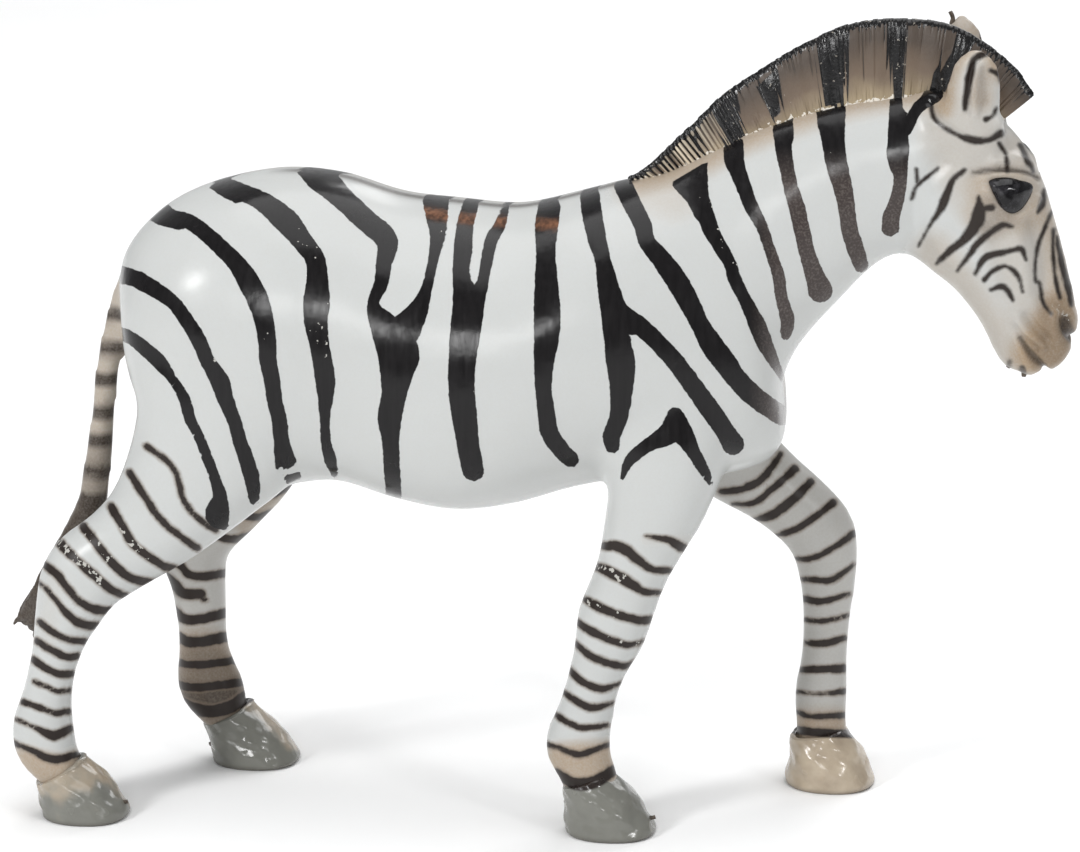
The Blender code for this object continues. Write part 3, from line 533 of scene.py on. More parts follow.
FAR_DARK_MIST = (
    (0.6, 4.5, ((-38.8, 12.2, 7.0), (-38.0, 10.0, 7.0))),
    (0.75, 1.2, even(1.8, (-43.5, 11.8), (-38.5, 11.0), (-33.0, 12.4))),
)
# In the same form: chipped paint on the near side, a painted warm reflection streaked along
# the top of the back, beige that takes the place of the hooves' olive, and the dark of the tuft.
WORN_SPOTS = (
    (0.6, 1.6, ((-26.7, 65.7, 1.0), (-25.2, 63.2, 1.0))),
    (0.4, 1.4, ((-31.6, 56.2, 0.6), (-30.4, 52.0, 0.6))),
    (0.65, 1.5, ((-25.4, 55.4, 1.0), (-24.4, 52.0, 1.0))),
    (1.0, 1.0, even(0.9, (-36.4, 51.0), (-35.5, 49.8))),
    (1.0, 1.0, even(1.0, (-47.6, 30.2), (-46.6, 28.8), (-45.2, 27.8))),
    (1.0, 1.0, even(1.0, (-51.8, 29.5), (-49.8, 27.2))),
    (1.0, 1.0, even(1.0, (-55.4, 29.0), (-53.2, 26.7), (-50.9, 24.8))),
    (0.8, 0.8, even(0.8, (4.6, 24.2), (8.4, 22.2))),
    (0.8, 0.8, even(0.8, (7.0, 19.8), (11.4, 18.8))),
    (1.0, 0.8, even(0.8, (6.6, 27.8), (9.6, 26.4))),
    (0.7, 2.0, even(1.0, (20.0, 70.0), (22.5, 64.0))),
    (1.0, 0.7, even(0.6, (57.6, 58.9), (58.6, 58.1))),
)
WARM_REFLECTION_STREAK = (
    (0.8, 0.9, even(0.2, (-13.4, 68.4), (-8.0, 67.7), (2.4, 67.2))),
)
HOOF_MIST = (
    (0.3, 2.2, even(1.6, (-58.8, 0.4), (-56.3, -0.4), (-54.4, 0.2), (-52.1, 1.8),
                    (-50.6, 3.4))),
    (0.3, 1.6, even(1.0, (-51.2, 2.8), (-49.1, 0.4), (-47.7, -1.2))),
    (0.45, 1.8, even(1.2, (-33.8, 10.8), (-31.8, 9.5), (-30.2, 7.8), (-28.7, 6.0))),
    (0.25, 1.2, even(0.8, (3.4, 0.8), (4.2, -1.4))),
)
TAIL_MIST = (
    (0.95, 3.0, ((-52.0, 31.0, 3.0), (-56.5, 24.0, 4.0), (-61.0, 18.0, 3.0))),
    (0.35, 1.6, ((-50.6, 40.0, 2.0), (-51.2, 34.0, 3.0))),
)

# Patches of black on the mane, from the neck upwards.
MANE_PATCHES = (
    ((12.6, 74.8), (13.7, 76.2), (16.2, 73.6), (14.0, 73.0)),
    ((16.0, 77.4), (17.7, 79.9), (18.7, 75.8), (17.7, 74.0)),
    ((18.6, 80.8), (22.2, 83.4), (22.8, 76.9), (20.6, 75.7)),
    ((23.4, 83.4), (26.4, 86.2), (27.4, 80.2), (25.7, 78.8)),
    ((30.0, 89.0), (34.5, 91.2), (34.2, 81.3), (31.2, 80.7)),
    ((38.2, 91.6), (41.2, 91.6), (40.7, 80.0), (39.0, 80.0)),
    ((46.0, 90.9), (49.4, 89.2), (48.0, 87.8), (46.0, 84.9), (45.0, 82.6), (43.6, 80.8),
     (42.4, 82.2), (42.8, 84.0), (44.1, 86.2), (45.4, 88.4)),
)

# Carving of the head: height, half width, and the line it follows on the middle plane. The
# first group is cut on the outer faces alone, the second right round the muzzle.
SIDE_CARVING = (
    (0.30, 0.30, ((49.4, 73.7), (50.6, 74.0), (52.4, 74.05), (54.0, 74.0), (55.2, 73.4))),
    (-0.50, 0.30, ((48.2, 74.1), (50.0, 74.5), (52.0, 74.6), (53.8, 74.4), (55.2, 73.8))),
    (0.60, 0.80, ((50.6, 75.6), (52.6, 75.6), (54.4, 75.0))),
    (0.34, 0.45, ((49.8, 72.0), (50.8, 70.3), (52.6, 69.2), (54.4, 70.0), (55.2, 71.4))),
    (-0.55, 0.80, ((54.9, 69.0), (55.5, 66.8), (56.0, 63.4), (56.3, 60.4))),
    (0.30, 0.80, ((52.9, 67.4), (53.9, 64.4), (54.2, 61.4))),
    (-0.60, 1.20, ((45.0, 62.2), (42.8, 65.0), (41.8, 69.0), (42.6, 72.6), (44.6, 75.4))),
    (-0.45, 1.20, ((50.0, 68.4), (51.2, 64.6), (52.2, 61.0))),
    (-0.90, 1.30, ((49.4, 82.2), (49.3, 83.6), (49.2, 85.2))),
    (0.50, 0.45, ((50.8, 79.8), (51.7, 81.6), (51.8, 83.6), (51.2, 85.6), (50.0, 87.4))),
    (-0.55, 0.35, ((47.3, 81.0), (47.4, 84.0), (47.8, 86.0), (48.9, 87.2))),
    (0.35, 0.50, ((48.2, 80.8), (48.4, 83.8), (48.6, 85.6))),
    (-0.35, 0.45, ((43.3, 81.8), (43.9, 80.2), (45.4, 79.0), (47.6, 77.8), (50.0, 77.8),
                   (51.2, 78.7))),
)
MUZZLE_CARVING = (
    (-0.80, 0.42, ((59.3, 55.8), (58.8, 56.7), (58.5, 57.7))),
    (0.40, 0.45, ((57.6, 58.6), (57.3, 57.2), (57.7, 55.6))),
    (0.30, 0.40, ((58.8, 59.0), (59.7, 57.6), (59.7, 56.0))),
    (-0.60, 0.36, ((56.6, 52.0), (55.4, 53.2), (54.5, 54.3), (53.7, 55.5))),
    (0.50, 0.45, ((56.2, 54.5), (55.6, 55.2), (54.6, 56.0), (53.2, 57.8))),
    (-0.40, 0.40, ((56.6, 55.6), (55.6, 56.6), (54.4, 58.2))),
    (-0.35, 0.40, ((55.4, 54.4), (54.2, 55.6), (53.0, 56.8))),
    (0.55, 0.80, ((53.6, 55.4), (54.2, 53.8), (54.8, 52.2))),
    (0.40, 0.80, ((58.6, 54.4), (58.0, 53.2), (57.0, 52.6))),
)


def linear(code):
    """Linear colour of an sRGB hex value."""
    parts = [int(code[k:k + 2], 16) / 255 for k in (0, 2, 4)]
    return tuple(p / 12.92 if p <= 0.04045 else ((p + 0.055) / 1.055) ** 2.4 for p in parts)


def per(size):
    """Noise scale whose features are this many millimetres across, on Object coordinates."""
    return 1000.0 / size


class ZebraSizes(bpy.types.PropertyGroup):
    """Sizes that set the grain of the forms."""

    skin_grain: bpy.props.FloatProperty(
        name="Skin grain", description="Spacing of the skin's facets before they are refined",
        default=0.78 * UNIT, min=0.0003, unit="LENGTH")
    hair_pitch: bpy.props.FloatProperty(
        name="Hair pitch", description="Distance from one hair of the mane to the next",
        default=0.4 * UNIT, min=0.0002, unit="LENGTH")
    hair_depth: bpy.props.FloatProperty(
        name="Hair depth", description="Depth of the groove between two hairs of the mane",
        default=0.1 * UNIT, min=0.0, unit="LENGTH")
    mane_thickness: bpy.props.FloatProperty(
        name="Mane thickness", description="Thickness of the mane where it leaves the neck",
        default=3.2 * UNIT, min=0.001, unit="LENGTH")
    eye_relief: bpy.props.FloatProperty(
        name="Eye relief", description="Height of the eyeball above the cheek",
        default=0.95 * UNIT, min=0.0, unit="LENGTH")


class ZebraColours(bpy.types.PropertyGroup):
    """Colours of the plastic and of its paints."""

    white: bpy.props.FloatVectorProperty(
        name="White", description="Milky white of the bare plastic", subtype="COLOR",
        size=3, min=0.0, max=1.0, default=linear("C8CED0"))
    black: bpy.props.FloatVectorProperty(
        name="Black", description="Gloss black of the stripes", subtype="COLOR",
        size=3, min=0.0, max=1.0, default=linear("0D0C0D"))
    beige: bpy.props.FloatVectorProperty(
        name="Beige", description="Airbrushed beige of the muzzle, ears and pasterns",
        subtype="COLOR", size=3, min=0.0, max=1.0, default=linear("A08B72"))
    umber: bpy.props.FloatVectorProperty(
        name="Umber", description="Dark brown of the leg bands, nostrils and tuft",
        subtype="COLOR", size=3, min=0.0, max=1.0, default=linear("29221F"))
    olive: bpy.props.FloatVectorProperty(
        name="Olive grey", description="Gloss paint of the hooves", subtype="COLOR",
        size=3, min=0.0, max=1.0, default=linear("7C7C75"))
    floor: bpy.props.FloatVectorProperty(
        name="Floor", description="Paper of the studio floor", subtype="COLOR",
        size=3, min=0.0, max=1.0, default=linear("FCFCFC"))


def to_frame(points):
    """Places in the row frame, in metres, of points in figure units."""
    return (points - np.array((MIDDLE_X, 0.0, 0.0))) * UNIT


def smooth_rows(rows, count, closed=False):
    """Rows of numbers resampled along the uniform cubic curve through them; a closed curve
    runs from the last row back to the first."""
    rows = np.array(rows, dtype=float)
    if closed:
        ends = np.vstack((rows[-1], rows, rows[0], rows[1]))
        place = np.linspace(0.0, len(rows), count, endpoint=False)
    else:
        ends = np.vstack((2 * rows[0] - rows[1], rows, 2 * rows[-1] - rows[-2]))
        place = np.linspace(0.0, len(rows) - 1.000001, count)
    first = place.astype(int)
    t = (place - first)[:, None]
    p0, p1, p2, p3 = (ends[first + k] for k in range(4))
    return 0.5 * (2 * p1 + (p2 - p0) * t + (2 * p0 - 5 * p1 + 4 * p2 - p3) * t ** 2
                  + (3 * p1 - p0 - 3 * p2 + p3) * t ** 3)


def sections(centre, along, across, breadth=0.0, points=64):
    """Grid of superellipses. Point a of row k is centre + c(a) along + s(a) across, where c
    and s are the cosine and sine of the angle raised to 2 / squareness with their signs
    kept, and the sideways part shrinks by breadth times the cosine."""
    angle = np.linspace(0.0, 2 * math.pi, points, endpoint=False)
    power = 2.0 / SQUARENESS
    cosine = np.sign(np.cos(angle)) * np.abs(np.cos(angle)) ** power
    sine = np.sign(np.sin(angle)) * np.abs(np.sin(angle)) ** power
    narrowing = 1.0 - np.reshape(breadth, (-1, 1)) * np.cos(angle)
    return (centre[:, None, :] + cosine[None, :, None] * along[:, None, :]
            + (sine * narrowing)[:, :, None] * across[:, None, :])


def closed_skin(grid):
    """Vertices, quads and triangles of a grid whose rows are closed rings, with a fan to the
    middle of the first and the last ring. Faces point outwards."""
    rows, columns = grid.shape[:2]
    vertices = np.vstack((grid.reshape(-1, 3), grid[0].mean(axis=0), grid[-1].mean(axis=0)))
    number = np.arange(rows * columns).reshape(rows, columns)
    following = np.roll(number, -1, axis=1)
    quads = np.stack((number[:-1], following[:-1], following[1:], number[1:]), axis=-1)
    quads = quads.reshape(-1, 4)
    low = np.stack((following[0], number[0], np.full(columns, rows * columns)), axis=-1)
    high = np.stack((number[-1], following[-1], np.full(columns, rows * columns + 1)), axis=-1)
    triangles = np.vstack((low, high))
    fans = np.vstack((triangles, quads[:, :3], quads[:, [0, 2, 3]]))
    a, b, c = (vertices[fans[:, k]] for k in range(3))
    if (np.cross(a, b) * c).sum() < 0.0:
        quads = quads[:, ::-1]
        triangles = triangles[:, ::-1]
    return vertices, quads, triangles


def joined(parts):
    """One set of vertices, quads and triangles from several."""
    vertices = [part[0] for part in parts]
    starts = np.cumsum([0] + [len(v) for v in vertices[:-1]])
    quads = np.vstack([part[1] + start for part, start in zip(parts, starts)])
    triangles = np.vstack([part[2] + start for part, start in zip(parts, starts)])
    return np.vstack(vertices), quads, triangles


def new_mesh(name, vertices, quads, triangles):
    """Mesh with these corners, smooth shaded."""
    mesh = bpy.data.meshes.new(name)
    mesh.vertices.add(len(vertices))
    mesh.vertices.foreach_set("co", np.ascontiguousarray(vertices, dtype=np.float32).ravel())
    corners = np.concatenate((quads.ravel(), triangles.ravel())).astype(np.int32)
    mesh.loops.add(len(corners))
    mesh.loops.foreach_set("vertex_index", corners)
    starts = np.concatenate((np.arange(len(quads)) * 4,
                             4 * len(quads) + np.arange(len(triangles)) * 3))
    mesh.polygons.add(len(starts))
    mesh.polygons.foreach_set("loop_start", starts.astype(np.int32))
    mesh.update(calc_edges=True)
    mesh.validate()
    mesh.shade_smooth()
    return mesh


def new_object(name, mesh):
    """Object at the origin that holds a mesh."""
    piece = bpy.data.objects.new(name, mesh)
    bpy.context.scene.collection.objects.link(piece)
    return piece


def vertex_array(mesh):
    """Places of a mesh's vertices."""
    values = np.empty(len(mesh.vertices) * 3, dtype=np.float32)
    mesh.vertices.foreach_get("co", values)
    return values.reshape(-1, 3).astype(float)


def normal_array(mesh):
    """Normals of a mesh's vertices."""
    values = np.empty(len(mesh.vertices) * 3, dtype=np.float32)
    mesh.vertex_normals.foreach_get("vector", values)
    return values.reshape(-1, 3).astype(float)


def edge_array(mesh):
    """Pairs of vertices joined by an edge."""
    values = np.empty(len(mesh.edges) * 2, dtype=np.int32)
    mesh.edges.foreach_get("vertices", values)
    return values.reshape(-1, 2)


def set_vertices(mesh, points):
    """Moves a mesh's vertices."""
    mesh.vertices.foreach_set("co", np.ascontiguousarray(points, dtype=np.float32).ravel())
    mesh.update()


def relaxed(points, edges, steps, pushes=(0.5, -0.53)):
    """Each step moves every point towards the mean of its neighbours by half the way, then
    back by slightly more, which smooths the skin and keeps its volume."""
    first, second = edges.T
    count = len(points)
    neighbours = np.bincount(np.concatenate((first, second)), minlength=count)[:, None]
    for _ in range(steps):
        for push in pushes:
            total = np.stack([np.bincount(first, points[second, k], count)
                              + np.bincount(second, points[first, k], count)
                              for k in range(3)], axis=1)
            points = points + push * (total / np.maximum(neighbours, 1) - points)
    return points


def add_values(mesh, name, values):
    """Stores one number for each vertex."""
    mesh.attributes.new(name, "FLOAT", "POINT")
    mesh.attributes[name].data.foreach_set("value", values.astype(np.float32))


def mirrored(points):
    """Points brought to the near side, because the paint is the same on both."""
    result = points.copy()
    result[:, 1] = -np.abs(result[:, 1])
    return result


def mirrored_normals(points, normals):
    """Normals turned over together with the points that are brought to the near side."""
    result = normals.copy()
    result[:, 1] = -np.sign(points[:, 1]) * normals[:, 1]
    return result


def seen(points):
    """Where straight lines from the viewpoint through the points meet the middle plane y = 0:
    the offset from the viewpoint grows by its distance back over that of the point."""
    back = -VIEW_POINT[1]
    share = back / (back + points[:, 1])
    return (VIEW_POINT[0] + (points[:, 0] - VIEW_POINT[0]) * share,
            VIEW_POINT[2] + (points[:, 2] - VIEW_POINT[2]) * share)


def facing(points, normals):
    """Cosine between each normal and the line to the viewpoint."""
    line = VIEW_POINT - points
    return (normals * line).sum(axis=1) / np.linalg.norm(line, axis=1)


def edge_distance(u, v, stroke):
    """Distance of each place to the edge of a stroke, below zero inside the paint: the least,
    over short lengths of its smoothed line, of the distance less the half width there."""
    path = smooth_rows(stroke, 5 * len(stroke))
    path[:, 2] = np.maximum(path[:, 2], 0.05)
    reach = FAR_OFF + path[:, 2].max() / 2
    found = np.full(len(u), FAR_OFF)
    near = ((u > path[:, 0].min() - reach) & (u < path[:, 0].max() + reach)
            & (v > path[:, 1].min() - reach) & (v < path[:, 1].max() + reach))
    start = path[:-1]
    run = path[1:] - start
    du = u[near][:, None] - start[:, 0]
    dv = v[near][:, None] - start[:, 1]
    length = np.maximum(run[:, 0] ** 2 + run[:, 1] ** 2, 1e-9)
    along = np.clip((du * run[:, 0] + dv * run[:, 1]) / length, 0.0, 1.0)
    gap = np.hypot(du - along * run[:, 0], dv - along * run[:, 1])
    found[near] = (gap - (start[:, 2] + along * run[:, 2]) / 2).min(axis=1)
    return np.minimum(found, FAR_OFF)


def outline_distance(u, v, corners):
    """Distance of each place to a straight-sided outline, below zero inside it. A place is
    inside when a line from it to the right crosses the outline an odd number of times."""
    start = np.array(corners)
    run = np.roll(start, -1, axis=0) - start
    du = u[:, None] - start[:, 0]
    dv = v[:, None] - start[:, 1]
    along = np.clip((du * run[:, 0] + dv * run[:, 1]) / (run ** 2).sum(axis=1), 0.0, 1.0)
    gap = np.hypot(du - along * run[:, 0], dv - along * run[:, 1]).min(axis=1)
    spans = (dv < 0.0) != (dv < run[:, 1])
    level = dv / np.where(run[:, 1] == 0.0, 1.0, run[:, 1])
    inside = (spans & (du < level * run[:, 0])).sum(axis=1) % 2 == 1
    return np.minimum(np.where(inside, -gap, gap), FAR_OFF)


def painted(u, v, strokes, patches=()):
    """Distance to the edge of the nearest of several strokes and straight-sided patches."""
    found = np.full(len(u), FAR_OFF)
    for stroke in strokes:
        found = np.minimum(found, edge_distance(u, v, stroke))
    for corners in patches:
        found = np.minimum(found, outline_distance(u, v, corners))
    return found


def leg_bands(points):
    """Distance of each point to the edge of the nearest band on its own side."""
    u, v = seen(points)
    return np.where(points[:, 1] < 0.0, painted(u, v, NEAR_BANDS), painted(u, v, FAR_BANDS))


def on_tail(points):
    """Whether each point is part of the tail: close to the middle plane behind the rump."""
    x = points[:, 0]
    off = np.abs(points[:, 1])
    return ((x < -46.9) & (off < 2.7) & (points[:, 2] < 60.0)) | ((x < -47.8) & (off < 4.0))


def sprayed(u, v, mists):
    """Density of airbrushed colour: full on the stroke, falling smoothly to nothing over its
    fade; where two sprays meet, what one leaves bare is shared by the next."""
    bare = np.ones(len(u))
    for strength, fade, stroke in mists:
        share = np.clip(1.0 - edge_distance(u, v, stroke) / fade, 0.0, 1.0)
        bare = bare * (1.0 - strength * share * share * (3.0 - 2.0 * share))
    return 1.0 - bare


def body_skin():
    """Trunk, neck and head: superellipses between the upper and lower outline."""
    rows = smooth_rows(BODY, 240)
    blank = np.zeros(len(rows))
    top = np.stack((rows[:, 0], blank, rows[:, 1]), axis=1)
    low = np.stack((rows[:, 2], blank, rows[:, 3]), axis=1)
    across = np.stack((blank, rows[:, 4], blank), axis=1)
    return closed_skin(sections((top + low) / 2, (top - low) / 2, across, rows[:, 5], 96))


def limb_skin(rows):
    """Leg, tail or lock: superellipses square to an axis that bends in its own plane."""
    rows = smooth_rows(rows, 10 * len(rows))
    axis = rows[:, :3]
    run = np.gradient(axis, axis=0)
    run[:, 1] = 0.0
    run /= np.linalg.norm(run, axis=1)[:, None]
    along = np.stack((-run[:, 2], run[:, 1], run[:, 0]), axis=1) * (rows[:, 3:4] + LIMB_SWELL)
    across = np.stack((run[:, 1], rows[:, 4] + LIMB_SWELL, run[:, 1]), axis=1)
    return closed_skin(sections(axis, along, across, points=40))


def tuft_lock(tip):
    """Pointed lock at the end of the tail."""
    x, y, z, depth, width = TAIL[-2]
    return limb_skin(((x, y, z, depth * 0.8, width * 0.9),
                      ((x + tip[0]) / 2, y, (z + tip[1]) / 2, depth * 0.6, width * 0.6),
                      (tip[0], y, tip[1], 0.3, 0.3)))


def bulge_skin(form, side, slope=0.0, lean=0.0):
    """Ellipsoid on one side of the head: circles of latitude stretched to the half sizes,
    turned level with the slope of the face and leaned outwards."""
    centre = np.array(form[0]) * (1.0, side, 1.0)
    latitude = np.linspace(-1.52, 1.52, 24)[:, None]
    longitude = np.linspace(0.0, 2 * math.pi, 36, endpoint=False)[None, :]
    ball = np.stack((np.cos(latitude) * np.cos(longitude), np.cos(latitude) * np.sin(longitude),
                     np.sin(latitude) + 0.0 * longitude), axis=-1) * form[1]
    c, s = math.cos(slope), math.sin(slope)
    ball = ball @ np.array(((c, 0.0, s), (0.0, 1.0, 0.0), (-s, 0.0, c))).T
    c, s = math.cos(side * lean), math.sin(side * lean)
    ball = ball @ np.array(((1.0, 0.0, 0.0), (0.0, c, -s), (0.0, s, c))).T
    return closed_skin(ball + centre)


def nib_skin(foot, tip, thickness):
    """Small curl of flash left by the mould, tapering from its foot to its tip."""
    foot = np.array(foot)
    tip = np.array(tip)
    middle = (foot + tip) / 2 + np.array((0.2, 0.0, 0.0))
    return limb_skin((np.append(foot, (thickness, thickness)),
                      np.append(middle, (thickness * 0.7, thickness * 0.7)),
                      np.append(tip, (NIB_TIP, NIB_TIP))))


def flash_skin():
    """All curls of flash together."""
    return joined([nib_skin(*nib) for nib in FLASH_NIBS])


def rough_skin():
    """All soft forms, still passing through each other."""
    parts = [body_skin()]
    parts += [limb_skin(rows) for rows in (NEAR_FORELEG, FAR_FORELEG, NEAR_HIND_LEG,
                                           FAR_HIND_LEG, TAIL)]
    parts += [tuft_lock(tip) for tip in TUFT_TIPS]
    for side in (-1, 1):
        parts.append(bulge_skin(EAR if side < 0 else FAR_EAR, side, lean=EAR_LEAN))
        parts.append(bulge_skin(EAR_FOOT, side, slope=-FACE_SLOPE))
        parts += [bulge_skin(form, side, slope=FACE_SLOPE)
                  for form in (CHEEK, BROW, NOSE_WING, KNOB)]
    return joined(parts)


def grown_together(grain):
    """Mesh of the forms grown into one skin by a voxel remesh, then relaxed until the joints
    between limb and body are soft fillets."""
    rough = new_object("rough", new_mesh("rough", *rough_skin()))
    remesh = rough.modifiers.new("one_skin", "REMESH")
    remesh.mode = "VOXEL"
    remesh.voxel_size = grain
    graph = bpy.context.evaluated_depsgraph_get()
    mesh = bpy.data.meshes.new_from_object(rough.evaluated_get(graph))
    bpy.data.objects.remove(rough)
    points = relaxed(vertex_array(mesh), edge_array(mesh), 6, (0.5,))
    set_vertices(mesh, relaxed(points, edge_array(mesh), 24))
    return mesh


def refine(mesh, wanted, steps=4):
    """Splits each face whose corners are all wanted into four, and relaxes the result."""
    work = bmesh.new()
    work.from_mesh(mesh)
    flags = wanted[edge_array(mesh)].all(axis=1)
    edges = [edge for edge, flag in zip(work.edges, flags) if flag]
    bmesh.ops.subdivide_edges(work, edges=edges, cuts=1, use_grid_fill=True)
    work.to_mesh(mesh)
    work.free()
    set_vertices(mesh, relaxed(vertex_array(mesh), edge_array(mesh), steps))


def carve(mesh):
    """Moves the head's skin along its normals: each carved line adds its height times
    exp(-(distance / half width) squared), and the tuft of the tail is fluted by a sine
    across its hair."""
    points = vertex_array(mesh)
    normals = normal_array(mesh)
    near = mirrored(points)
    u, v = seen(near)
    outward = np.clip(facing(near, mirrored_normals(points, normals)) * 2.0, 0.0, 1.0)
    height = np.zeros(len(points))
    head = points[:, 0] > HEAD_START
    for group, share in ((SIDE_CARVING, outward * head), (MUZZLE_CARVING, head)):
        for rise, half_width, line in group:
            gap = np.maximum(edge_distance(u, v, even(0.1, *line)), 0.0)
            height += rise * np.exp(-(gap / half_width) ** 2) * share
    tuft = np.clip((32.0 - points[:, 2]) / 6.0, 0.0, 1.0)
    tuft *= (points[:, 0] < -48.0) & (np.abs(points[:, 1]) < 2.8)
    strand = 0.83 * points[:, 0] - 0.55 * points[:, 2] + 0.9 * points[:, 1]
    height += 0.16 * tuft * np.sin(2 * math.pi * strand / 0.9)
    set_vertices(mesh, points + normals * height[:, None])


def paint_skin(mesh):
    """Stores what the paint needs at each vertex: distances to the edges of the stripes and
    of the soft bands, the density of each airbrushed colour, and that of a painted warm
    reflection on the back."""
    points = vertex_array(mesh)
    normals = normal_array(mesh)
    near = mirrored(points)
    u, v = seen(near)
    away = -facing(near, mirrored_normals(points, normals))
    hidden = np.clip(away - 0.35, 0.0, 1.0) * 8.0
    tail = on_tail(points)
    stripe = painted(u, v, BODY_STRIPES, STRIPE_ENDS) + hidden
    stripe = np.minimum(np.where(tail, FAR_OFF, stripe), FAR_OFF)
    line = np.minimum(painted(u, v, HEAD_LINES) + hidden, FAR_OFF)
    true_u, true_v = seen(points)
    near_leg = (points[:, 1] < -LEG_OFFSET) & ~tail
    far_leg = (points[:, 1] > LEG_OFFSET) & ~tail
    band = np.full(len(points), FAR_OFF)
    for group, strokes in ((near_leg, NEAR_BANDS), (far_leg, FAR_BANDS)):
        band[group] = painted(true_u[group], true_v[group], strokes)
    beige = sprayed(u, v, BEIGE_MIST)
    dark = sprayed(u, v, DARK_MIST)
    beige[near_leg] = np.maximum(beige, sprayed(true_u, true_v, NEAR_MIST))[near_leg]
    beige[far_leg] = np.maximum(beige, sprayed(true_u, true_v, FAR_MIST))[far_leg]
    dark[far_leg] = np.maximum(dark, sprayed(true_u, true_v, FAR_DARK_MIST))[far_leg]
    beige[tail] = 0.7
    dark[tail] = sprayed(true_u[tail], true_v[tail], TAIL_BANDS + TAIL_MIST)

    # A dark line runs along the top of the back, from the croup to the withers.
    spine = np.exp(-(points[:, 1] / 1.2) ** 2) * np.clip(normals[:, 2], 0.0, 1.0)
    spine *= np.clip((points[:, 0] + 31.0) / 4.0, 0.0, 1.0) * (points[:, 0] < 11.0)
    dark = np.maximum(dark, 0.9 * spine)
    worn = np.where(points[:, 1] < 0.0, sprayed(true_u, true_v, WORN_SPOTS), 0.0)
    # A warm brown streak along the top of the back is a painted reflection in the gloss.
    painted_warm_reflection = sprayed(u, v, WARM_REFLECTION_STREAK)

    # The stripes thin out to a dusty brown on the front of the neck.
    fade = np.clip((76.5 - v) / 4.0, 0.0, 1.0) * np.clip((u - 23.5) / 3.0, 0.0, 1.0)
    fade *= (u < 42.5) & (v < 78.0)
    paints = {"stripe": stripe, "line": line, "band": band, "beige": beige, "dark": dark,
              "fade": fade, "worn": worn, "painted_warm_reflection": painted_warm_reflection}
    for name, values in paints.items():
        add_values(mesh, name, values)


def add_node(tree, kind, settings=None, inputs=None):
    """Adds a node; settings are its own properties, and each input is a value or a socket."""
    node = tree.nodes.new(kind)
    for name, value in (settings or {}).items():
        setattr(node, name, value)
    for name, value in (inputs or {}).items():
        if isinstance(value, bpy.types.NodeSocket):
            tree.links.new(value, node.inputs[name])
        else:
            node.inputs[name].default_value = value
    return node


def new_material(name):
    """Material with an empty tree but for its shader, and that shader."""
    material = bpy.data.materials.new(name)
    material.use_nodes = True
    return material, material.node_tree, material.node_tree.nodes["Principled BSDF"]


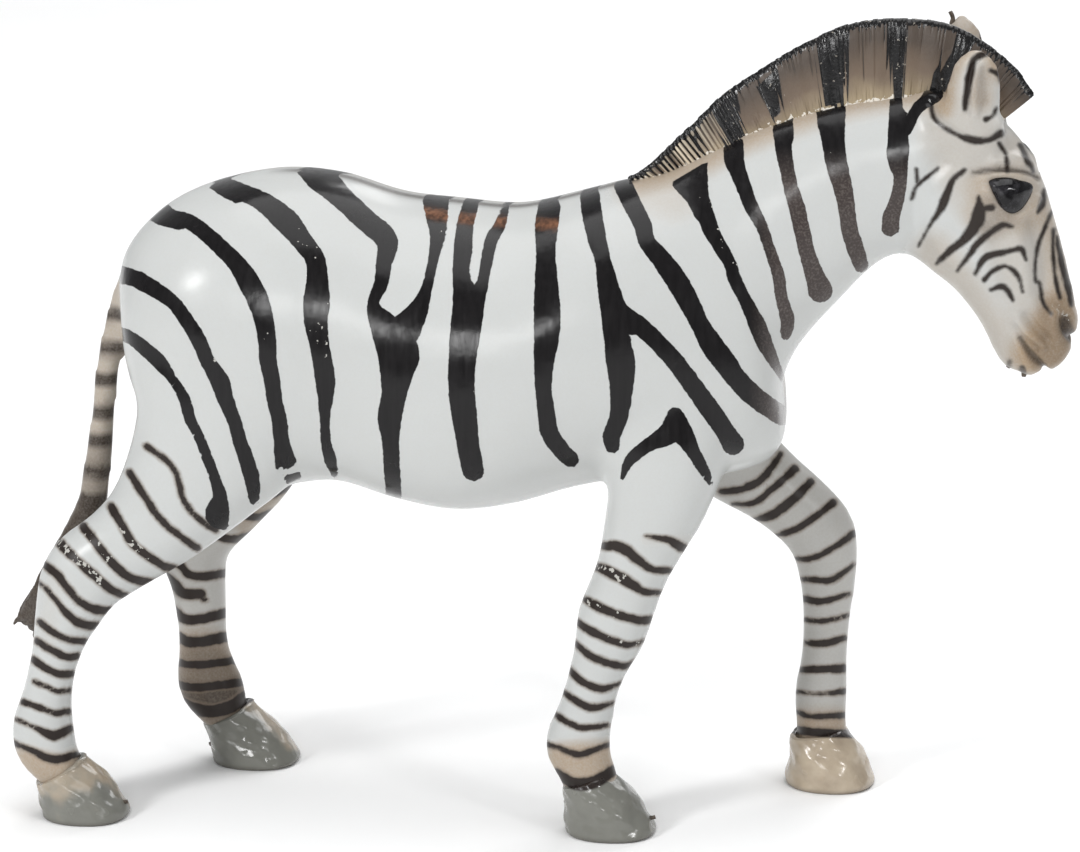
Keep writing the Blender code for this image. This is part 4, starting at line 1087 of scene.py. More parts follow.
def painted_plastic(colours):
    """Soft PVC, moulded: milky, a little see-through, and glossy. Gloss black stripes laid on
    by brush stand a hair above it, and beige and brown are airbrushed into it."""
    material, tree, shader = new_material("painted_soft_plastic")
    place = add_node(tree, "ShaderNodeTexCoord").outputs["Object"]
    value = {}
    for name in ("stripe", "line", "band", "beige", "dark", "fade", "worn", "painted_warm_reflection"):
        value[name] = add_node(tree, "ShaderNodeAttribute",
                               {"attribute_name": name}).outputs["Fac"]

    # Broad unevenness of the milky plastic, 14 mm across.
    cloud = add_node(tree, "ShaderNodeTexNoise", None,
                     {"Vector": place, "Scale": per(14.0), "Detail": 2.0}).outputs["Fac"]
    white = add_node(tree, "ShaderNodeMix", {"data_type": "RGBA"},
                     {0: cloud, 6: (*colours.white, 1.0),
                      7: (*(c * 0.93 for c in colours.white), 1.0)}).outputs[2]

    # Grain of the airbrush breaks up every sprayed colour. Its specks are under 0.1 mm, too
    # fine to show, so they are drawn 0.25 mm across.
    grain = add_node(tree, "ShaderNodeTexNoise", None,
                     {"Vector": place, "Scale": per(0.25), "Detail": 2.0}).outputs["Fac"]
    speck = add_node(tree, "ShaderNodeMapRange", None,
                     {"Value": grain, "From Min": 0.3, "From Max": 0.7, "To Min": 0.88,
                      "To Max": 1.05}).outputs[0]
    beige = add_node(tree, "ShaderNodeMath", {"operation": "MULTIPLY", "use_clamp": True},
                     {0: value["beige"], 1: speck}).outputs[0]
    colour = add_node(tree, "ShaderNodeMix", {"data_type": "RGBA"},
                      {0: beige, 6: white, 7: (*colours.beige, 1.0)}).outputs[2]
    dark = add_node(tree, "ShaderNodeMath", {"operation": "MULTIPLY", "use_clamp": True},
                    {0: value["dark"], 1: speck}).outputs[0]
    colour = add_node(tree, "ShaderNodeMix", {"data_type": "RGBA"},
                      {0: dark, 6: colour, 7: (*linear(SPRAYED_BROWN), 1.0)}).outputs[2]

    # The bands' edges wander by a few tenths of a millimetre and fade out in brown.
    wander = add_node(tree, "ShaderNodeTexNoise", None,
                      {"Vector": place, "Scale": per(1.1), "Detail": 3.0}).outputs["Fac"]
    shift = add_node(tree, "ShaderNodeMath", {"operation": "MULTIPLY_ADD"},
                     {0: wander, 1: 0.4, 2: -0.2}).outputs[0]
    band = add_node(tree, "ShaderNodeMath", {"operation": "ADD"},
                    {0: value["band"], 1: shift}).outputs[0]
    fringe = add_node(tree, "ShaderNodeMapRange", {"interpolation_type": "SMOOTHSTEP"},
                      {"Value": band, "From Min": 0.4, "From Max": -0.1, "To Min": 0.0,
                       "To Max": 0.8}).outputs[0]
    fringe = add_node(tree, "ShaderNodeMath", {"operation": "MULTIPLY", "use_clamp": True},
                      {0: fringe, 1: speck}).outputs[0]
    colour = add_node(tree, "ShaderNodeMix", {"data_type": "RGBA"},
                      {0: fringe, 6: colour, 7: (*linear(BAND_FRINGE), 1.0)}).outputs[2]
    core = add_node(tree, "ShaderNodeMapRange", {"interpolation_type": "SMOOTHSTEP"},
                    {"Value": band, "From Min": 0.1, "From Max": -0.16}).outputs[0]
    colour = add_node(tree, "ShaderNodeMix", {"data_type": "RGBA"},
                      {0: core, 6: colour, 7: (*colours.umber, 1.0)}).outputs[2]

    # Fine lines of the face: a thinned dark brown whose edges the plastic soaks up a little.
    thin = add_node(tree, "ShaderNodeMath", {"operation": "ADD"},
                    {0: value["line"], 1: shift}).outputs[0]
    thin = add_node(tree, "ShaderNodeMapRange", {"interpolation_type": "SMOOTHSTEP"},
                    {"Value": thin, "From Min": 0.3, "From Max": -0.16}).outputs[0]
    colour = add_node(tree, "ShaderNodeMix", {"data_type": "RGBA"},
                      {0: thin, 6: colour, 7: (*linear(LINE_BROWN), 1.0)}).outputs[2]

    # The stripes' edges are crisp, with a waver of the brush.
    waver = add_node(tree, "ShaderNodeTexNoise", None,
                     {"Vector": place, "Scale": per(0.9), "Detail": 3.0,
                      "Roughness": 0.6}).outputs["Fac"]
    shift = add_node(tree, "ShaderNodeMath", {"operation": "MULTIPLY_ADD"},
                     {0: waver, 1: 0.3, 2: -0.15}).outputs[0]
    stripe = add_node(tree, "ShaderNodeMath", {"operation": "ADD"},
                      {0: value["stripe"], 1: shift}).outputs[0]
    mask = add_node(tree, "ShaderNodeMapRange", {"interpolation_type": "SMOOTHSTEP"},
                    {"Value": stripe, "From Min": 0.05, "From Max": -0.05}).outputs[0]

    # Brush hairs leave streaks that run down the flank. They are 0.2 mm apart, too fine to
    # show, so they are drawn at 0.5 mm.
    turned = add_node(tree, "ShaderNodeMapping", None,
                      {"Vector": place, "Rotation": (0.0, 0.15, 0.0),
                       "Scale": (1.0, 0.6, 0.07)}).outputs["Vector"]
    streak = add_node(tree, "ShaderNodeTexNoise", None,
                      {"Vector": turned, "Scale": per(0.5), "Detail": 3.0}).outputs["Fac"]
    ink = add_node(tree, "ShaderNodeMix", {"data_type": "RGBA"},
                   {0: streak, 6: (*colours.black, 1.0),
                    7: (*linear(THIN_BLACK), 1.0)}).outputs[2]
    dusty = add_node(tree, "ShaderNodeMapRange", None,
                     {"Value": grain, "From Min": 0.46, "From Max": 0.74}).outputs[0]
    dust = add_node(tree, "ShaderNodeMix", {"data_type": "RGBA"},
                    {0: dusty, 6: (*linear(DUSTY_DARK), 1.0),
                     7: (*linear(DUSTY_PALE), 1.0)}).outputs[2]
    ink = add_node(tree, "ShaderNodeMix", {"data_type": "RGBA"},
                   {0: value["fade"], 6: ink, 7: dust}).outputs[2]

    # Painted reflection: warm brown, streaked along the brush lines, mixed into the black on top
    # of the back.
    painted_warm_reflection = add_node(tree, "ShaderNodeMapRange", None,
                    {"Value": streak, "From Min": 0.35, "From Max": 0.65, "To Min": 0.3,
                     "To Max": 1.0}).outputs[0]
    painted_warm_reflection = add_node(tree, "ShaderNodeMath", {"operation": "MULTIPLY"},
                    {0: painted_warm_reflection, 1: value["painted_warm_reflection"]}).outputs[0]
    ink = add_node(tree, "ShaderNodeMix", {"data_type": "RGBA"},
                   {0: painted_warm_reflection, 6: ink, 7: (*linear(WARM_REFLECTION_BROWN), 1.0)}).outputs[2]
    colour = add_node(tree, "ShaderNodeMix", {"data_type": "RGBA"},
                      {0: mask, 6: colour, 7: ink}).outputs[2]

    # Chips half a millimetre across bare the pale plastic where the paint was rubbed.
    chip = add_node(tree, "ShaderNodeTexNoise", None,
                    {"Vector": place, "Scale": per(0.55), "Detail": 2.0}).outputs["Fac"]
    limit = add_node(tree, "ShaderNodeMapRange", None,
                     {"Value": value["worn"], "To Min": 0.8, "To Max": 0.58}).outputs[0]
    chip = add_node(tree, "ShaderNodeMath", {"operation": "GREATER_THAN"},
                    {0: chip, 1: limit}).outputs[0]
    covered = add_node(tree, "ShaderNodeMath", {"operation": "MAXIMUM"},
                       {0: mask, 1: core}).outputs[0]
    covered = add_node(tree, "ShaderNodeMath", {"operation": "MAXIMUM"},
                       {0: covered, 1: dark}).outputs[0]
    chip = add_node(tree, "ShaderNodeMath", {"operation": "MULTIPLY"},
                    {0: chip, 1: covered}).outputs[0]
    colour = add_node(tree, "ShaderNodeMix", {"data_type": "RGBA"},
                      {0: chip, 6: colour, 7: (*linear(CHIPPED), 1.0)}).outputs[2]
    tree.links.new(colour, shader.inputs["Base Color"])

    matt = add_node(tree, "ShaderNodeMath", {"operation": "MAXIMUM"},
                    {0: beige, 1: core}).outputs[0]
    rough = add_node(tree, "ShaderNodeMapRange", None,
                     {"Value": matt, "To Min": 0.24, "To Max": 0.38}).outputs[0]
    ink_rough = add_node(tree, "ShaderNodeMapRange", None,
                         {"Value": streak, "From Min": 0.3, "From Max": 0.7, "To Min": 0.15,
                          "To Max": 0.24}).outputs[0]
    rough = add_node(tree, "ShaderNodeMix", None,
                     {0: mask, 2: rough, 3: ink_rough}).outputs[0]
    tree.links.new(rough, shader.inputs["Roughness"])

    # Heights in units of 0.04 mm: swell and ripple of the moulding, brush streaks, paint edge.
    ripple = add_node(tree, "ShaderNodeTexNoise", None,
                      {"Vector": place, "Scale": per(2.6), "Detail": 2.0}).outputs["Fac"]
    streaks = add_node(tree, "ShaderNodeMath", {"operation": "MULTIPLY"},
                       {0: streak, 1: mask}).outputs[0]
    height = add_node(tree, "ShaderNodeMath", {"operation": "MULTIPLY_ADD"},
                      {0: streaks, 1: 0.22, 2: mask}).outputs[0]
    height = add_node(tree, "ShaderNodeMath", {"operation": "MULTIPLY_ADD"},
                      {0: ripple, 1: 2.0, 2: height}).outputs[0]
    height = add_node(tree, "ShaderNodeMath", {"operation": "MULTIPLY_ADD"},
                      {0: cloud, 1: 14.0, 2: height}).outputs[0]
    bump = add_node(tree, "ShaderNodeBump", None,
                    {"Height": height, "Strength": 0.6, "Distance": 0.00004}).outputs[0]
    tree.links.new(bump, shader.inputs["Normal"])
    shader.inputs["IOR"].default_value = 1.5
    shader.inputs["Specular IOR Level"].default_value = 0.25
    shader.inputs["Subsurface Weight"].default_value = 0.15
    shader.inputs["Subsurface Radius"].default_value = (1.0, 0.9, 0.8)
    shader.inputs["Subsurface Scale"].default_value = 0.0012
    return material


def brushed_mane(colours):
    """Hair moulded in soft PVC: cream and grey-brown sprayed over it, black brushed on in
    patches and wiped along the top edge, which catches the ridges and leaves the grooves."""
    material, tree, shader = new_material("brushed_mane_plastic")
    place = add_node(tree, "ShaderNodeTexCoord").outputs["Object"]
    value = {}
    for name in ("patch", "above", "below", "groove", "comb", "tone"):
        value[name] = add_node(tree, "ShaderNodeAttribute",
                               {"attribute_name": name}).outputs["Fac"]
    fleck = add_node(tree, "ShaderNodeTexNoise", None,
                     {"Vector": place, "Scale": per(0.45), "Detail": 2.0}).outputs["Fac"]
    cloud = add_node(tree, "ShaderNodeTexNoise", None,
                     {"Vector": place, "Scale": per(5.0), "Detail": 2.0}).outputs["Fac"]

    # Cream at the root, browner up the hair, dark under the crest.
    height = add_node(tree, "ShaderNodeMath", {"operation": "ADD"},
                      {0: value["above"], 1: value["below"]}).outputs[0]
    height = add_node(tree, "ShaderNodeMath", {"operation": "DIVIDE"},
                      {0: value["above"], 1: height}).outputs[0]
    height = add_node(tree, "ShaderNodeMath", {"operation": "MULTIPLY_ADD"},
                      {0: cloud, 1: 0.5, 2: height}).outputs[0]
    colour = add_node(tree, "ShaderNodeValToRGB", None, {"Fac": height})
    stops = colour.color_ramp.elements
    stops[0].position = 0.2
    stops[0].color = (*linear(HAIR_LOW), 1.0)
    stops[1].position = 1.0
    stops[1].color = (*linear(HAIR_HIGH), 1.0)
    middle = stops.new(0.6)
    middle.color = (*linear(HAIR_MIDDLE), 1.0)
    colour = colour.outputs["Color"]

    # Paint lies in the grooves as dark scratches, and fills those of the comb.
    low = add_node(tree, "ShaderNodeMapRange", None,
                   {"Value": value["tone"], "From Min": 0.15, "From Max": 0.9}).outputs[0]
    low = add_node(tree, "ShaderNodeMath", {"operation": "MAXIMUM"},
                   {0: low, 1: value["comb"]}).outputs[0]
    hollow = add_node(tree, "ShaderNodeMapRange", {"interpolation_type": "SMOOTHSTEP"},
                      {"Value": value["groove"], "From Min": 0.25, "From Max": 0.8}).outputs[0]
    hollow = add_node(tree, "ShaderNodeMath", {"operation": "MULTIPLY"},
                      {0: hollow, 1: low}).outputs[0]
    colour = add_node(tree, "ShaderNodeMix", {"data_type": "RGBA"},
                      {0: hollow, 6: colour, 7: (*linear(GROOVE_BROWN), 1.0)}).outputs[2]

    # The hairs of the comb stand out cream between their grooves.
    cream = add_node(tree, "ShaderNodeMath", {"operation": "MULTIPLY_ADD"},
                     {0: value["groove"], 1: -1.6, 2: value["comb"]}).outputs[0]
    cream = add_node(tree, "ShaderNodeMath", {"operation": "MULTIPLY", "use_clamp": True},
                     {0: cream, 1: value["tone"]}).outputs[0]
    colour = add_node(tree, "ShaderNodeMix", {"data_type": "RGBA"},
                      {0: cream, 6: colour, 7: (*linear(COMB_CREAM), 1.0)}).outputs[2]

    # Bare plastic shows in flecks along the jagged root.
    root = add_node(tree, "ShaderNodeMapRange", None,
                    {"Value": value["above"], "From Min": 0.5, "From Max": 1.3,
                     "To Min": 0.44, "To Max": 0.78}).outputs[0]
    pale = add_node(tree, "ShaderNodeMath", {"operation": "GREATER_THAN"},
                    {0: fleck, 1: root}).outputs[0]
    colour = add_node(tree, "ShaderNodeMix", {"data_type": "RGBA"},
                      {0: pale, 6: colour, 7: (*linear(ROOT_FLECK), 1.0)}).outputs[2]

    # Ridges at a patch's edge stay pale, so the black ends in teeth along the hair.
    toothed = add_node(tree, "ShaderNodeMath", {"operation": "MULTIPLY_ADD"},
                       {0: value["groove"], 1: -0.7, 2: value["patch"]}).outputs[0]
    ridge = add_node(tree, "ShaderNodeMath", {"operation": "SUBTRACT"},
                     {0: 0.75, 1: value["groove"]}).outputs[0]
    ridge = add_node(tree, "ShaderNodeMath", {"operation": "MULTIPLY"},
                     {0: ridge, 1: value["comb"]}).outputs[0]
    toothed = add_node(tree, "ShaderNodeMath", {"operation": "ADD"},
                       {0: toothed, 1: ridge}).outputs[0]
    ragged = add_node(tree, "ShaderNodeMath", {"operation": "MULTIPLY_ADD"},
                      {0: value["tone"], 1: 0.7, 2: toothed}).outputs[0]
    mask = add_node(tree, "ShaderNodeMapRange", {"interpolation_type": "SMOOTHSTEP"},
                    {"Value": ragged, "From Min": 0.1, "From Max": -0.06}).outputs[0]

    # The crest was wiped with black: a thin, uneven line.
    edge = add_node(tree, "ShaderNodeMath", {"operation": "MULTIPLY_ADD"},
                    {0: fleck, 1: -1.0, 2: value["below"]}).outputs[0]
    edge = add_node(tree, "ShaderNodeMath", {"operation": "MULTIPLY_ADD"},
                    {0: value["groove"], 1: -0.5, 2: edge}).outputs[0]
    edge = add_node(tree, "ShaderNodeMapRange", {"interpolation_type": "SMOOTHSTEP"},
                    {"Value": edge, "From Min": 0.15, "From Max": 0.0}).outputs[0]
    mask = add_node(tree, "ShaderNodeMath", {"operation": "MAXIMUM"},
                    {0: mask, 1: edge}).outputs[0]
    # Grey flecks in the black of the crest are painted glints of light.
    glint = add_node(tree, "ShaderNodeMath", {"operation": "GREATER_THAN"},
                     {0: fleck, 1: 0.7}).outputs[0]
    ink = add_node(tree, "ShaderNodeMix", {"data_type": "RGBA"},
                   {0: glint, 6: (*colours.black, 1.0),
                    7: (*linear(CREST_GLINT), 1.0)}).outputs[2]
    colour = add_node(tree, "ShaderNodeMix", {"data_type": "RGBA"},
                      {0: mask, 6: colour, 7: ink}).outputs[2]
    tree.links.new(colour, shader.inputs["Base Color"])
    rough = add_node(tree, "ShaderNodeMapRange", None,
                     {"Value": mask, "To Min": 0.45, "To Max": 0.24}).outputs[0]
    tree.links.new(rough, shader.inputs["Roughness"])
    bump = add_node(tree, "ShaderNodeBump", None,
                    {"Height": fleck, "Strength": 0.5, "Distance": 0.00008}).outputs[0]
    tree.links.new(bump, shader.inputs["Normal"])
    shader.inputs["IOR"].default_value = 1.5
    return material


def dipped_hoof(colours):
    """Hoof of soft PVC under thick gloss enamel, olive grey over beige: the pooled paint
    gives small broken highlights, and wear shows pale on the high spots."""
    material, tree, shader = new_material("enamelled_hoof")
    place = add_node(tree, "ShaderNodeTexCoord").outputs["Object"]
    value = {}
    for name in ("olive", "band", "rise"):
        value[name] = add_node(tree, "ShaderNodeAttribute",
                               {"attribute_name": name}).outputs["Fac"]
    cloud = add_node(tree, "ShaderNodeTexNoise", None,
                     {"Vector": place, "Scale": per(2.4), "Detail": 3.0}).outputs["Fac"]
    bare = add_node(tree, "ShaderNodeMix", {"data_type": "RGBA"},
                    {0: cloud, 6: (*linear(HOOF_BROWN), 1.0),
                     7: (*linear(HOOF_CREAM), 1.0)}).outputs[2]
    olive = add_node(tree, "ShaderNodeMix", {"data_type": "RGBA"},
                     {0: cloud, 6: (*colours.olive, 1.0),
                      7: (*(c * 0.82 for c in colours.olive), 1.0)}).outputs[2]
    share = add_node(tree, "ShaderNodeMath", {"operation": "MULTIPLY_ADD"},
                     {0: cloud, 1: 0.5, 2: value["olive"]}).outputs[0]
    share = add_node(tree, "ShaderNodeMapRange", {"interpolation_type": "SMOOTHSTEP"},
                     {"Value": share, "From Min": 0.55, "From Max": 0.95}).outputs[0]
    colour = add_node(tree, "ShaderNodeMix", {"data_type": "RGBA"},
                      {0: share, 6: bare, 7: olive}).outputs[2]
    core = add_node(tree, "ShaderNodeMapRange", {"interpolation_type": "SMOOTHSTEP"},
                    {"Value": value["band"], "From Min": 0.2, "From Max": -0.15}).outputs[0]
    colour = add_node(tree, "ShaderNodeMix", {"data_type": "RGBA"},
                      {0: core, 6: colour, 7: (*colours.umber, 1.0)}).outputs[2]
    # The colour darkens towards the ground over the lowest eighth of the hoof's height.
    ground = add_node(tree, "ShaderNodeMapRange", {"interpolation_type": "SMOOTHSTEP"},
                      {"Value": value["rise"], "From Min": 0.12, "From Max": 0.0,
                       "To Max": 0.5}).outputs[0]
    colour = add_node(tree, "ShaderNodeMix", {"data_type": "RGBA"},
                      {0: ground, 6: colour, 7: (*linear(HOOF_FOOT_DARK), 1.0)}).outputs[2]
    tree.links.new(colour, shader.inputs["Base Color"])
    pool = add_node(tree, "ShaderNodeTexNoise", None,
                    {"Vector": place, "Scale": per(3.6), "Detail": 2.0}).outputs["Fac"]
    rough = add_node(tree, "ShaderNodeMapRange", None,
                     {"Value": pool, "From Min": 0.3, "From Max": 0.7, "To Min": 0.12,
                      "To Max": 0.28}).outputs[0]
    tree.links.new(rough, shader.inputs["Roughness"])
    bump = add_node(tree, "ShaderNodeBump", None,
                    {"Height": pool, "Strength": 0.9, "Distance": 0.0007}).outputs[0]
    tree.links.new(bump, shader.inputs["Normal"])
    shader.inputs["IOR"].default_value = 1.5
    return material


def gloss_eye():
    """Eye painted in black gloss enamel, so smooth that it mirrors the studio lamp, with grey
    patches painted into the black as reflections."""
    material, tree, shader = new_material("gloss_black_enamel")
    place = add_node(tree, "ShaderNodeTexCoord").outputs["Object"]
    # Grey patches in the black are painted reflections.
    painted_reflection_patch = add_node(tree, "ShaderNodeTexNoise", None,
                     {"Vector": place, "Scale": per(0.9), "Detail": 3.0}).outputs["Fac"]
    painted_reflection_patch = add_node(tree, "ShaderNodeMapRange", None,
                     {"Value": painted_reflection_patch, "From Min": 0.45, "From Max": 0.75}).outputs[0]
    colour = add_node(tree, "ShaderNodeMix", {"data_type": "RGBA"},
                      {0: painted_reflection_patch, 6: (*linear(EYE_BLACK), 1.0),
                       7: (*linear(EYE_REFLECTION_GREY), 1.0)}).outputs[2]
    tree.links.new(colour, shader.inputs["Base Color"])
    shader.inputs["Roughness"].default_value = 0.09
    shader.inputs["Specular IOR Level"].default_value = 0.28
    shader.inputs["IOR"].default_value = 1.5
    return material


def mould_flash(colours):
    """Flash of soft PVC, torn thin: it takes up stray umber paint and shows beige where the
    plastic was stretched, and its torn surface is rough."""
    material, tree, shader = new_material("torn_flash_plastic")
    place = add_node(tree, "ShaderNodeTexCoord").outputs["Object"]
    tear = add_node(tree, "ShaderNodeTexNoise", None,
                    {"Vector": place, "Scale": per(0.4), "Detail": 3.0}).outputs["Fac"]
    colour = add_node(tree, "ShaderNodeMix", {"data_type": "RGBA"},
                      {0: tear, 6: (*colours.umber, 1.0),
                       7: (*linear(TORN_BEIGE), 1.0)}).outputs[2]
    tree.links.new(colour, shader.inputs["Base Color"])
    bump = add_node(tree, "ShaderNodeBump", None,
                    {"Height": tear, "Strength": 0.6, "Distance": 0.00008}).outputs[0]
    tree.links.new(bump, shader.inputs["Normal"])
    shader.inputs["Roughness"].default_value = 0.45
    shader.inputs["IOR"].default_value = 1.5
    return material


def studio_paper(colour):
    """Seamless paper, matt: pale, with the faintest mottle of its pulp."""
    material, tree, shader = new_material("seamless_paper")
    place = add_node(tree, "ShaderNodeTexCoord").outputs["Object"]
    pulp = add_node(tree, "ShaderNodeTexNoise", None,
                    {"Vector": place, "Scale": per(30.0), "Detail": 3.0}).outputs["Fac"]
    paper = add_node(tree, "ShaderNodeMix", {"data_type": "RGBA"},
                     {0: pulp, 6: (*colour, 1.0),
                      7: (*(c * 0.97 for c in colour), 1.0)}).outputs[2]
    tree.links.new(paper, shader.inputs["Base Color"])
    shader.inputs["Roughness"].default_value = 0.9
    return material


def hoof_surface(toe, heel, y, half_width, front_x, front_z, back_x, back_z):
    """Hoof wall: superellipses between the toe line and the heel line, from the ground up to
    a rounded rim that overhangs the pastern, each point pushed in or out by the sum of three
    slow sine waves of the angle and the height."""
    rows = ((toe - 0.5, 0.0, heel + 0.5, 0.0, half_width * 0.92),
            (toe - 0.12, 0.12, heel + 0.12, 0.12, half_width * 0.98),
            (toe, 0.8, heel, 0.8, half_width),
            (toe + (front_x - toe) * 0.42, front_z / 2 + 0.6, (heel + back_x) / 2,
             back_z / 2 + 0.4, half_width * 0.93),
            (front_x + 0.3, front_z - 0.25, back_x - 0.2, back_z - 0.2, half_width * 0.77),
            (front_x + 0.1, front_z + 0.1, back_x - 0.1, back_z + 0.1, half_width * 0.74),
            (front_x - 0.5, front_z + 0.2, back_x + 0.4, back_z + 0.2, half_width * 0.64),
            (front_x - 1.2, front_z - 0.6, back_x + 1.0, back_z - 0.6, half_width * 0.5))
    rows = smooth_rows(rows, 72)
    rows[:, 1] = np.maximum(rows[:, 1], 0.0)
    rows[:, 3] = np.maximum(rows[:, 3], 0.0)
    side = np.full(len(rows), y)
    blank = np.zeros(len(rows))
    front = np.stack((rows[:, 0], side, rows[:, 1]), axis=1)
    back = np.stack((rows[:, 2], side, rows[:, 3]), axis=1)
    across = np.stack((blank, rows[:, 4], blank), axis=1)
    grid = sections((front + back) / 2, (front - back) / 2, across, -0.06, 96)
    angle = np.linspace(0.0, 2 * math.pi, 96, endpoint=False)[None, :]
    height = grid[:, :, 2]
    wave = (0.09 * np.sin(3 * angle + 1.1 * height + y) + 0.07 * np.sin(5 * angle - 1.9 * height)
            + 0.05 * np.sin(9 * angle + 2.7 * height + 2.0 * y))
    wave = wave * np.clip(height / 1.5, 0.0, 1.0)
    middle = grid.mean(axis=1)[:, None, :]
    outward = grid - middle
    outward[:, :, 2] = 0.0
    outward /= np.maximum(np.linalg.norm(outward, axis=2), 0.01)[:, :, None]
    return closed_skin(grid + wave[:, :, None] * outward)


def mane_surface(sizes):
    """Mane: for place s along the crest and t from the near foot over the top to the far
    foot, a point lies between root and top at the share sin(pi / 2 (1 - |2t - 1|)) to the
    power 0.8 of the height, and half the thickness to its side, which narrows upwards and
    closes at the top. Hairs follow each other along s at the pitch; the groove between two
    of them is the size of a cosine to the power 5, cut to a random length from the top down
    except low on the neck, where the hairs stand apart like a comb. Returns the skin, then
    heights above the root and below the top, groove, comb and tone at each vertex."""
    along, round_it = 1150, 64
    rows = smooth_rows(MANE, along)
    root = np.stack((rows[:, 0], np.zeros(along), rows[:, 1]), axis=1)
    top = np.stack((rows[:, 2], np.zeros(along), rows[:, 3]), axis=1)
    length = np.linalg.norm(top - root, axis=1)
    rise = (top - root) / length[:, None]
    middle = (root + top) / 2
    run = np.concatenate(([0.0], np.cumsum(np.linalg.norm(np.diff(middle, axis=0), axis=1))))
    comb = np.clip((COMB_END - rows[:, 0]) / 5.0, 0.0, 1.0)
    pitch = sizes.hair_pitch / UNIT * (1.0 + 0.5 * comb)
    hairs = np.cumsum(np.gradient(run) / pitch)
    dice = np.random.default_rng(7)
    trait = dice.random((int(hairs[-1]) + 5, 3))
    t = np.linspace(0.0, 1.0, round_it)[None, :]
    share = np.sin((1.0 - np.abs(2 * t - 1.0)) * math.pi / 2) ** 0.8
    side = np.sign(0.5 - t)
    phase = hairs[:, None] + 1.0 + 0.45 * np.sin(0.6 * hairs)[:, None] * share
    border = np.clip(np.rint(phase).astype(int), 0, len(trait) - 1)
    groove = np.abs(np.cos(math.pi * phase)) ** 5
    comb = comb[:, None] + 0.0 * share
    foot = root - MANE_SUNK * rise
    crest = (length + MANE_SUNK)[:, None] + 0.12 * (trait[border, 1] - 0.5)
    above = crest * share - MANE_SUNK
    below = crest - MANE_SUNK - above
    reach = 0.5 + 7.5 * trait[border, 0] ** 2
    cut_off = np.clip((reach - below) / 1.2, 0.0, 1.0)
    groove = groove * np.maximum(cut_off, comb)
    depth = sizes.hair_depth / UNIT * (1.0 + 1.4 * comb)
    half = sizes.mane_thickness / UNIT / 2
    taper = np.clip(length / 5.0, 0.35, 1.0)[:, None]
    thickness = half * taper * (1.0 - 0.45 * share) * np.sqrt(np.clip(1.0 - share ** 9, 0, 1))
    locks = 0.06 * np.sin(2 * math.pi * run / 3.1 + 1.3)[:, None] * np.clip(below, 0.0, 1.0)
    ragged = 0.22 * (trait[border, 2] - 0.4) * (above < 1.4 + trait[border, 1])
    fall = np.clip(thickness / 0.5, 0.0, 1.0)
    thickness = np.maximum(thickness + (locks + ragged - depth * groove) * fall, 0.02)
    place = foot[:, None, :] + rise[:, None, :] * (crest * share)[:, :, None]
    place[:, :, 1] = side * thickness
    tone = trait[border, 2]
    tips = np.zeros(2)
    return closed_skin(place), *(np.concatenate((values.ravel(), tips))
                                 for values in (above, below, groove, comb, tone))


def eye_surface(skin, side, relief):
    """Eyeball: the outline shrunk towards its centre by the share r and laid just above the
    cheek, then raised by relief times 1 - r cubed; a rim carries it down under the lids. The
    cheek is the mean of the skin near by, weighted by exp(-(distance / reach) squared)."""
    outline = smooth_rows(EYE_OUTLINE, 72, closed=True)
    centre = outline.mean(axis=0)
    share = np.linspace(1.0, 0.04, 16)[:, None, None]
    spot = centre + (outline - centre)[None, :, :] * share * EYE_GROWTH
    back = -VIEW_POINT[1]
    closer = (back - EYE_OFFSET) / back
    x = VIEW_POINT[0] + (spot[:, :, 0] - VIEW_POINT[0]) * closer
    z = VIEW_POINT[2] + (spot[:, :, 1] - VIEW_POINT[2]) * closer
    points = mirrored(vertex_array(skin) / UNIT + np.array((MIDDLE_X, 0.0, 0.0)))
    around = points[(np.abs(points[:, 0] - EYE_MIDDLE[0]) < 4.5)
                    & (np.abs(points[:, 2] - EYE_MIDDLE[1]) < 4.5) & (points[:, 1] < -3.0)]
    gap = ((x.ravel()[:, None] - around[:, 0]) ** 2 + (z.ravel()[:, None] - around[:, 2]) ** 2)
    weight = np.exp(-gap / CHEEK_REACH ** 2)
    cheek = (weight * around[:, 1]).sum(axis=1) / weight.sum(axis=1)
    y = cheek.reshape(x.shape) - relief * (1.0 - share[:, :, 0] ** 3) - EYE_LIFT
    grid = np.stack((x, -side * y, z), axis=-1)
    rim = np.stack((x[0], -side * (y[0] + 1.0), z[0]), axis=-1)
    return closed_skin(np.concatenate((rim[None], grid)))


def ride_and_slot(piece):
    """Every piece is fixed to the one body."""
    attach(piece, "root")


class ZEBRA_OT_skin(bpy.types.Operator):
    """Grow trunk, head, legs, ears and tail into one skin, carve it and paint it"""

    bl_idname = "zebra.skin"
    bl_label = "Painted skin"

    def execute(self, context):
        sizes = context.scene.zebra_sizes
        mesh = grown_together(sizes.skin_grain / UNIT)
        points = vertex_array(mesh)
        banded = leg_bands(points) < BAND_MARGIN
        refine(mesh, (points[:, 0] > HEAD_START + 0.5) | (points[:, 2] < LEG_TOP) | banded)
        points = vertex_array(mesh)
        u, v = seen(mirrored(points))
        fine = painted(u, v, HEAD_LINES) < 0.45
        fine |= np.hypot(u - EYE_MIDDLE[0], v - EYE_MIDDLE[1]) < 3.4
        fine |= np.hypot(u - MUZZLE_MIDDLE[0], v - MUZZLE_MIDDLE[1]) < 3.8
        refine(mesh, fine & (points[:, 0] > HEAD_START + 1.0))
        carve(mesh)
        paint_skin(mesh)
        set_vertices(mesh, to_frame(vertex_array(mesh)))
        mesh.name = "zebra_skin"
        mesh.shade_smooth()
        mesh.materials.clear()
        mesh.materials.append(painted_plastic(context.scene.zebra_colours))
        piece = new_object("zebra_skin", mesh)
        ride_and_slot(piece)
        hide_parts(NODE)
        return {"FINISHED"}


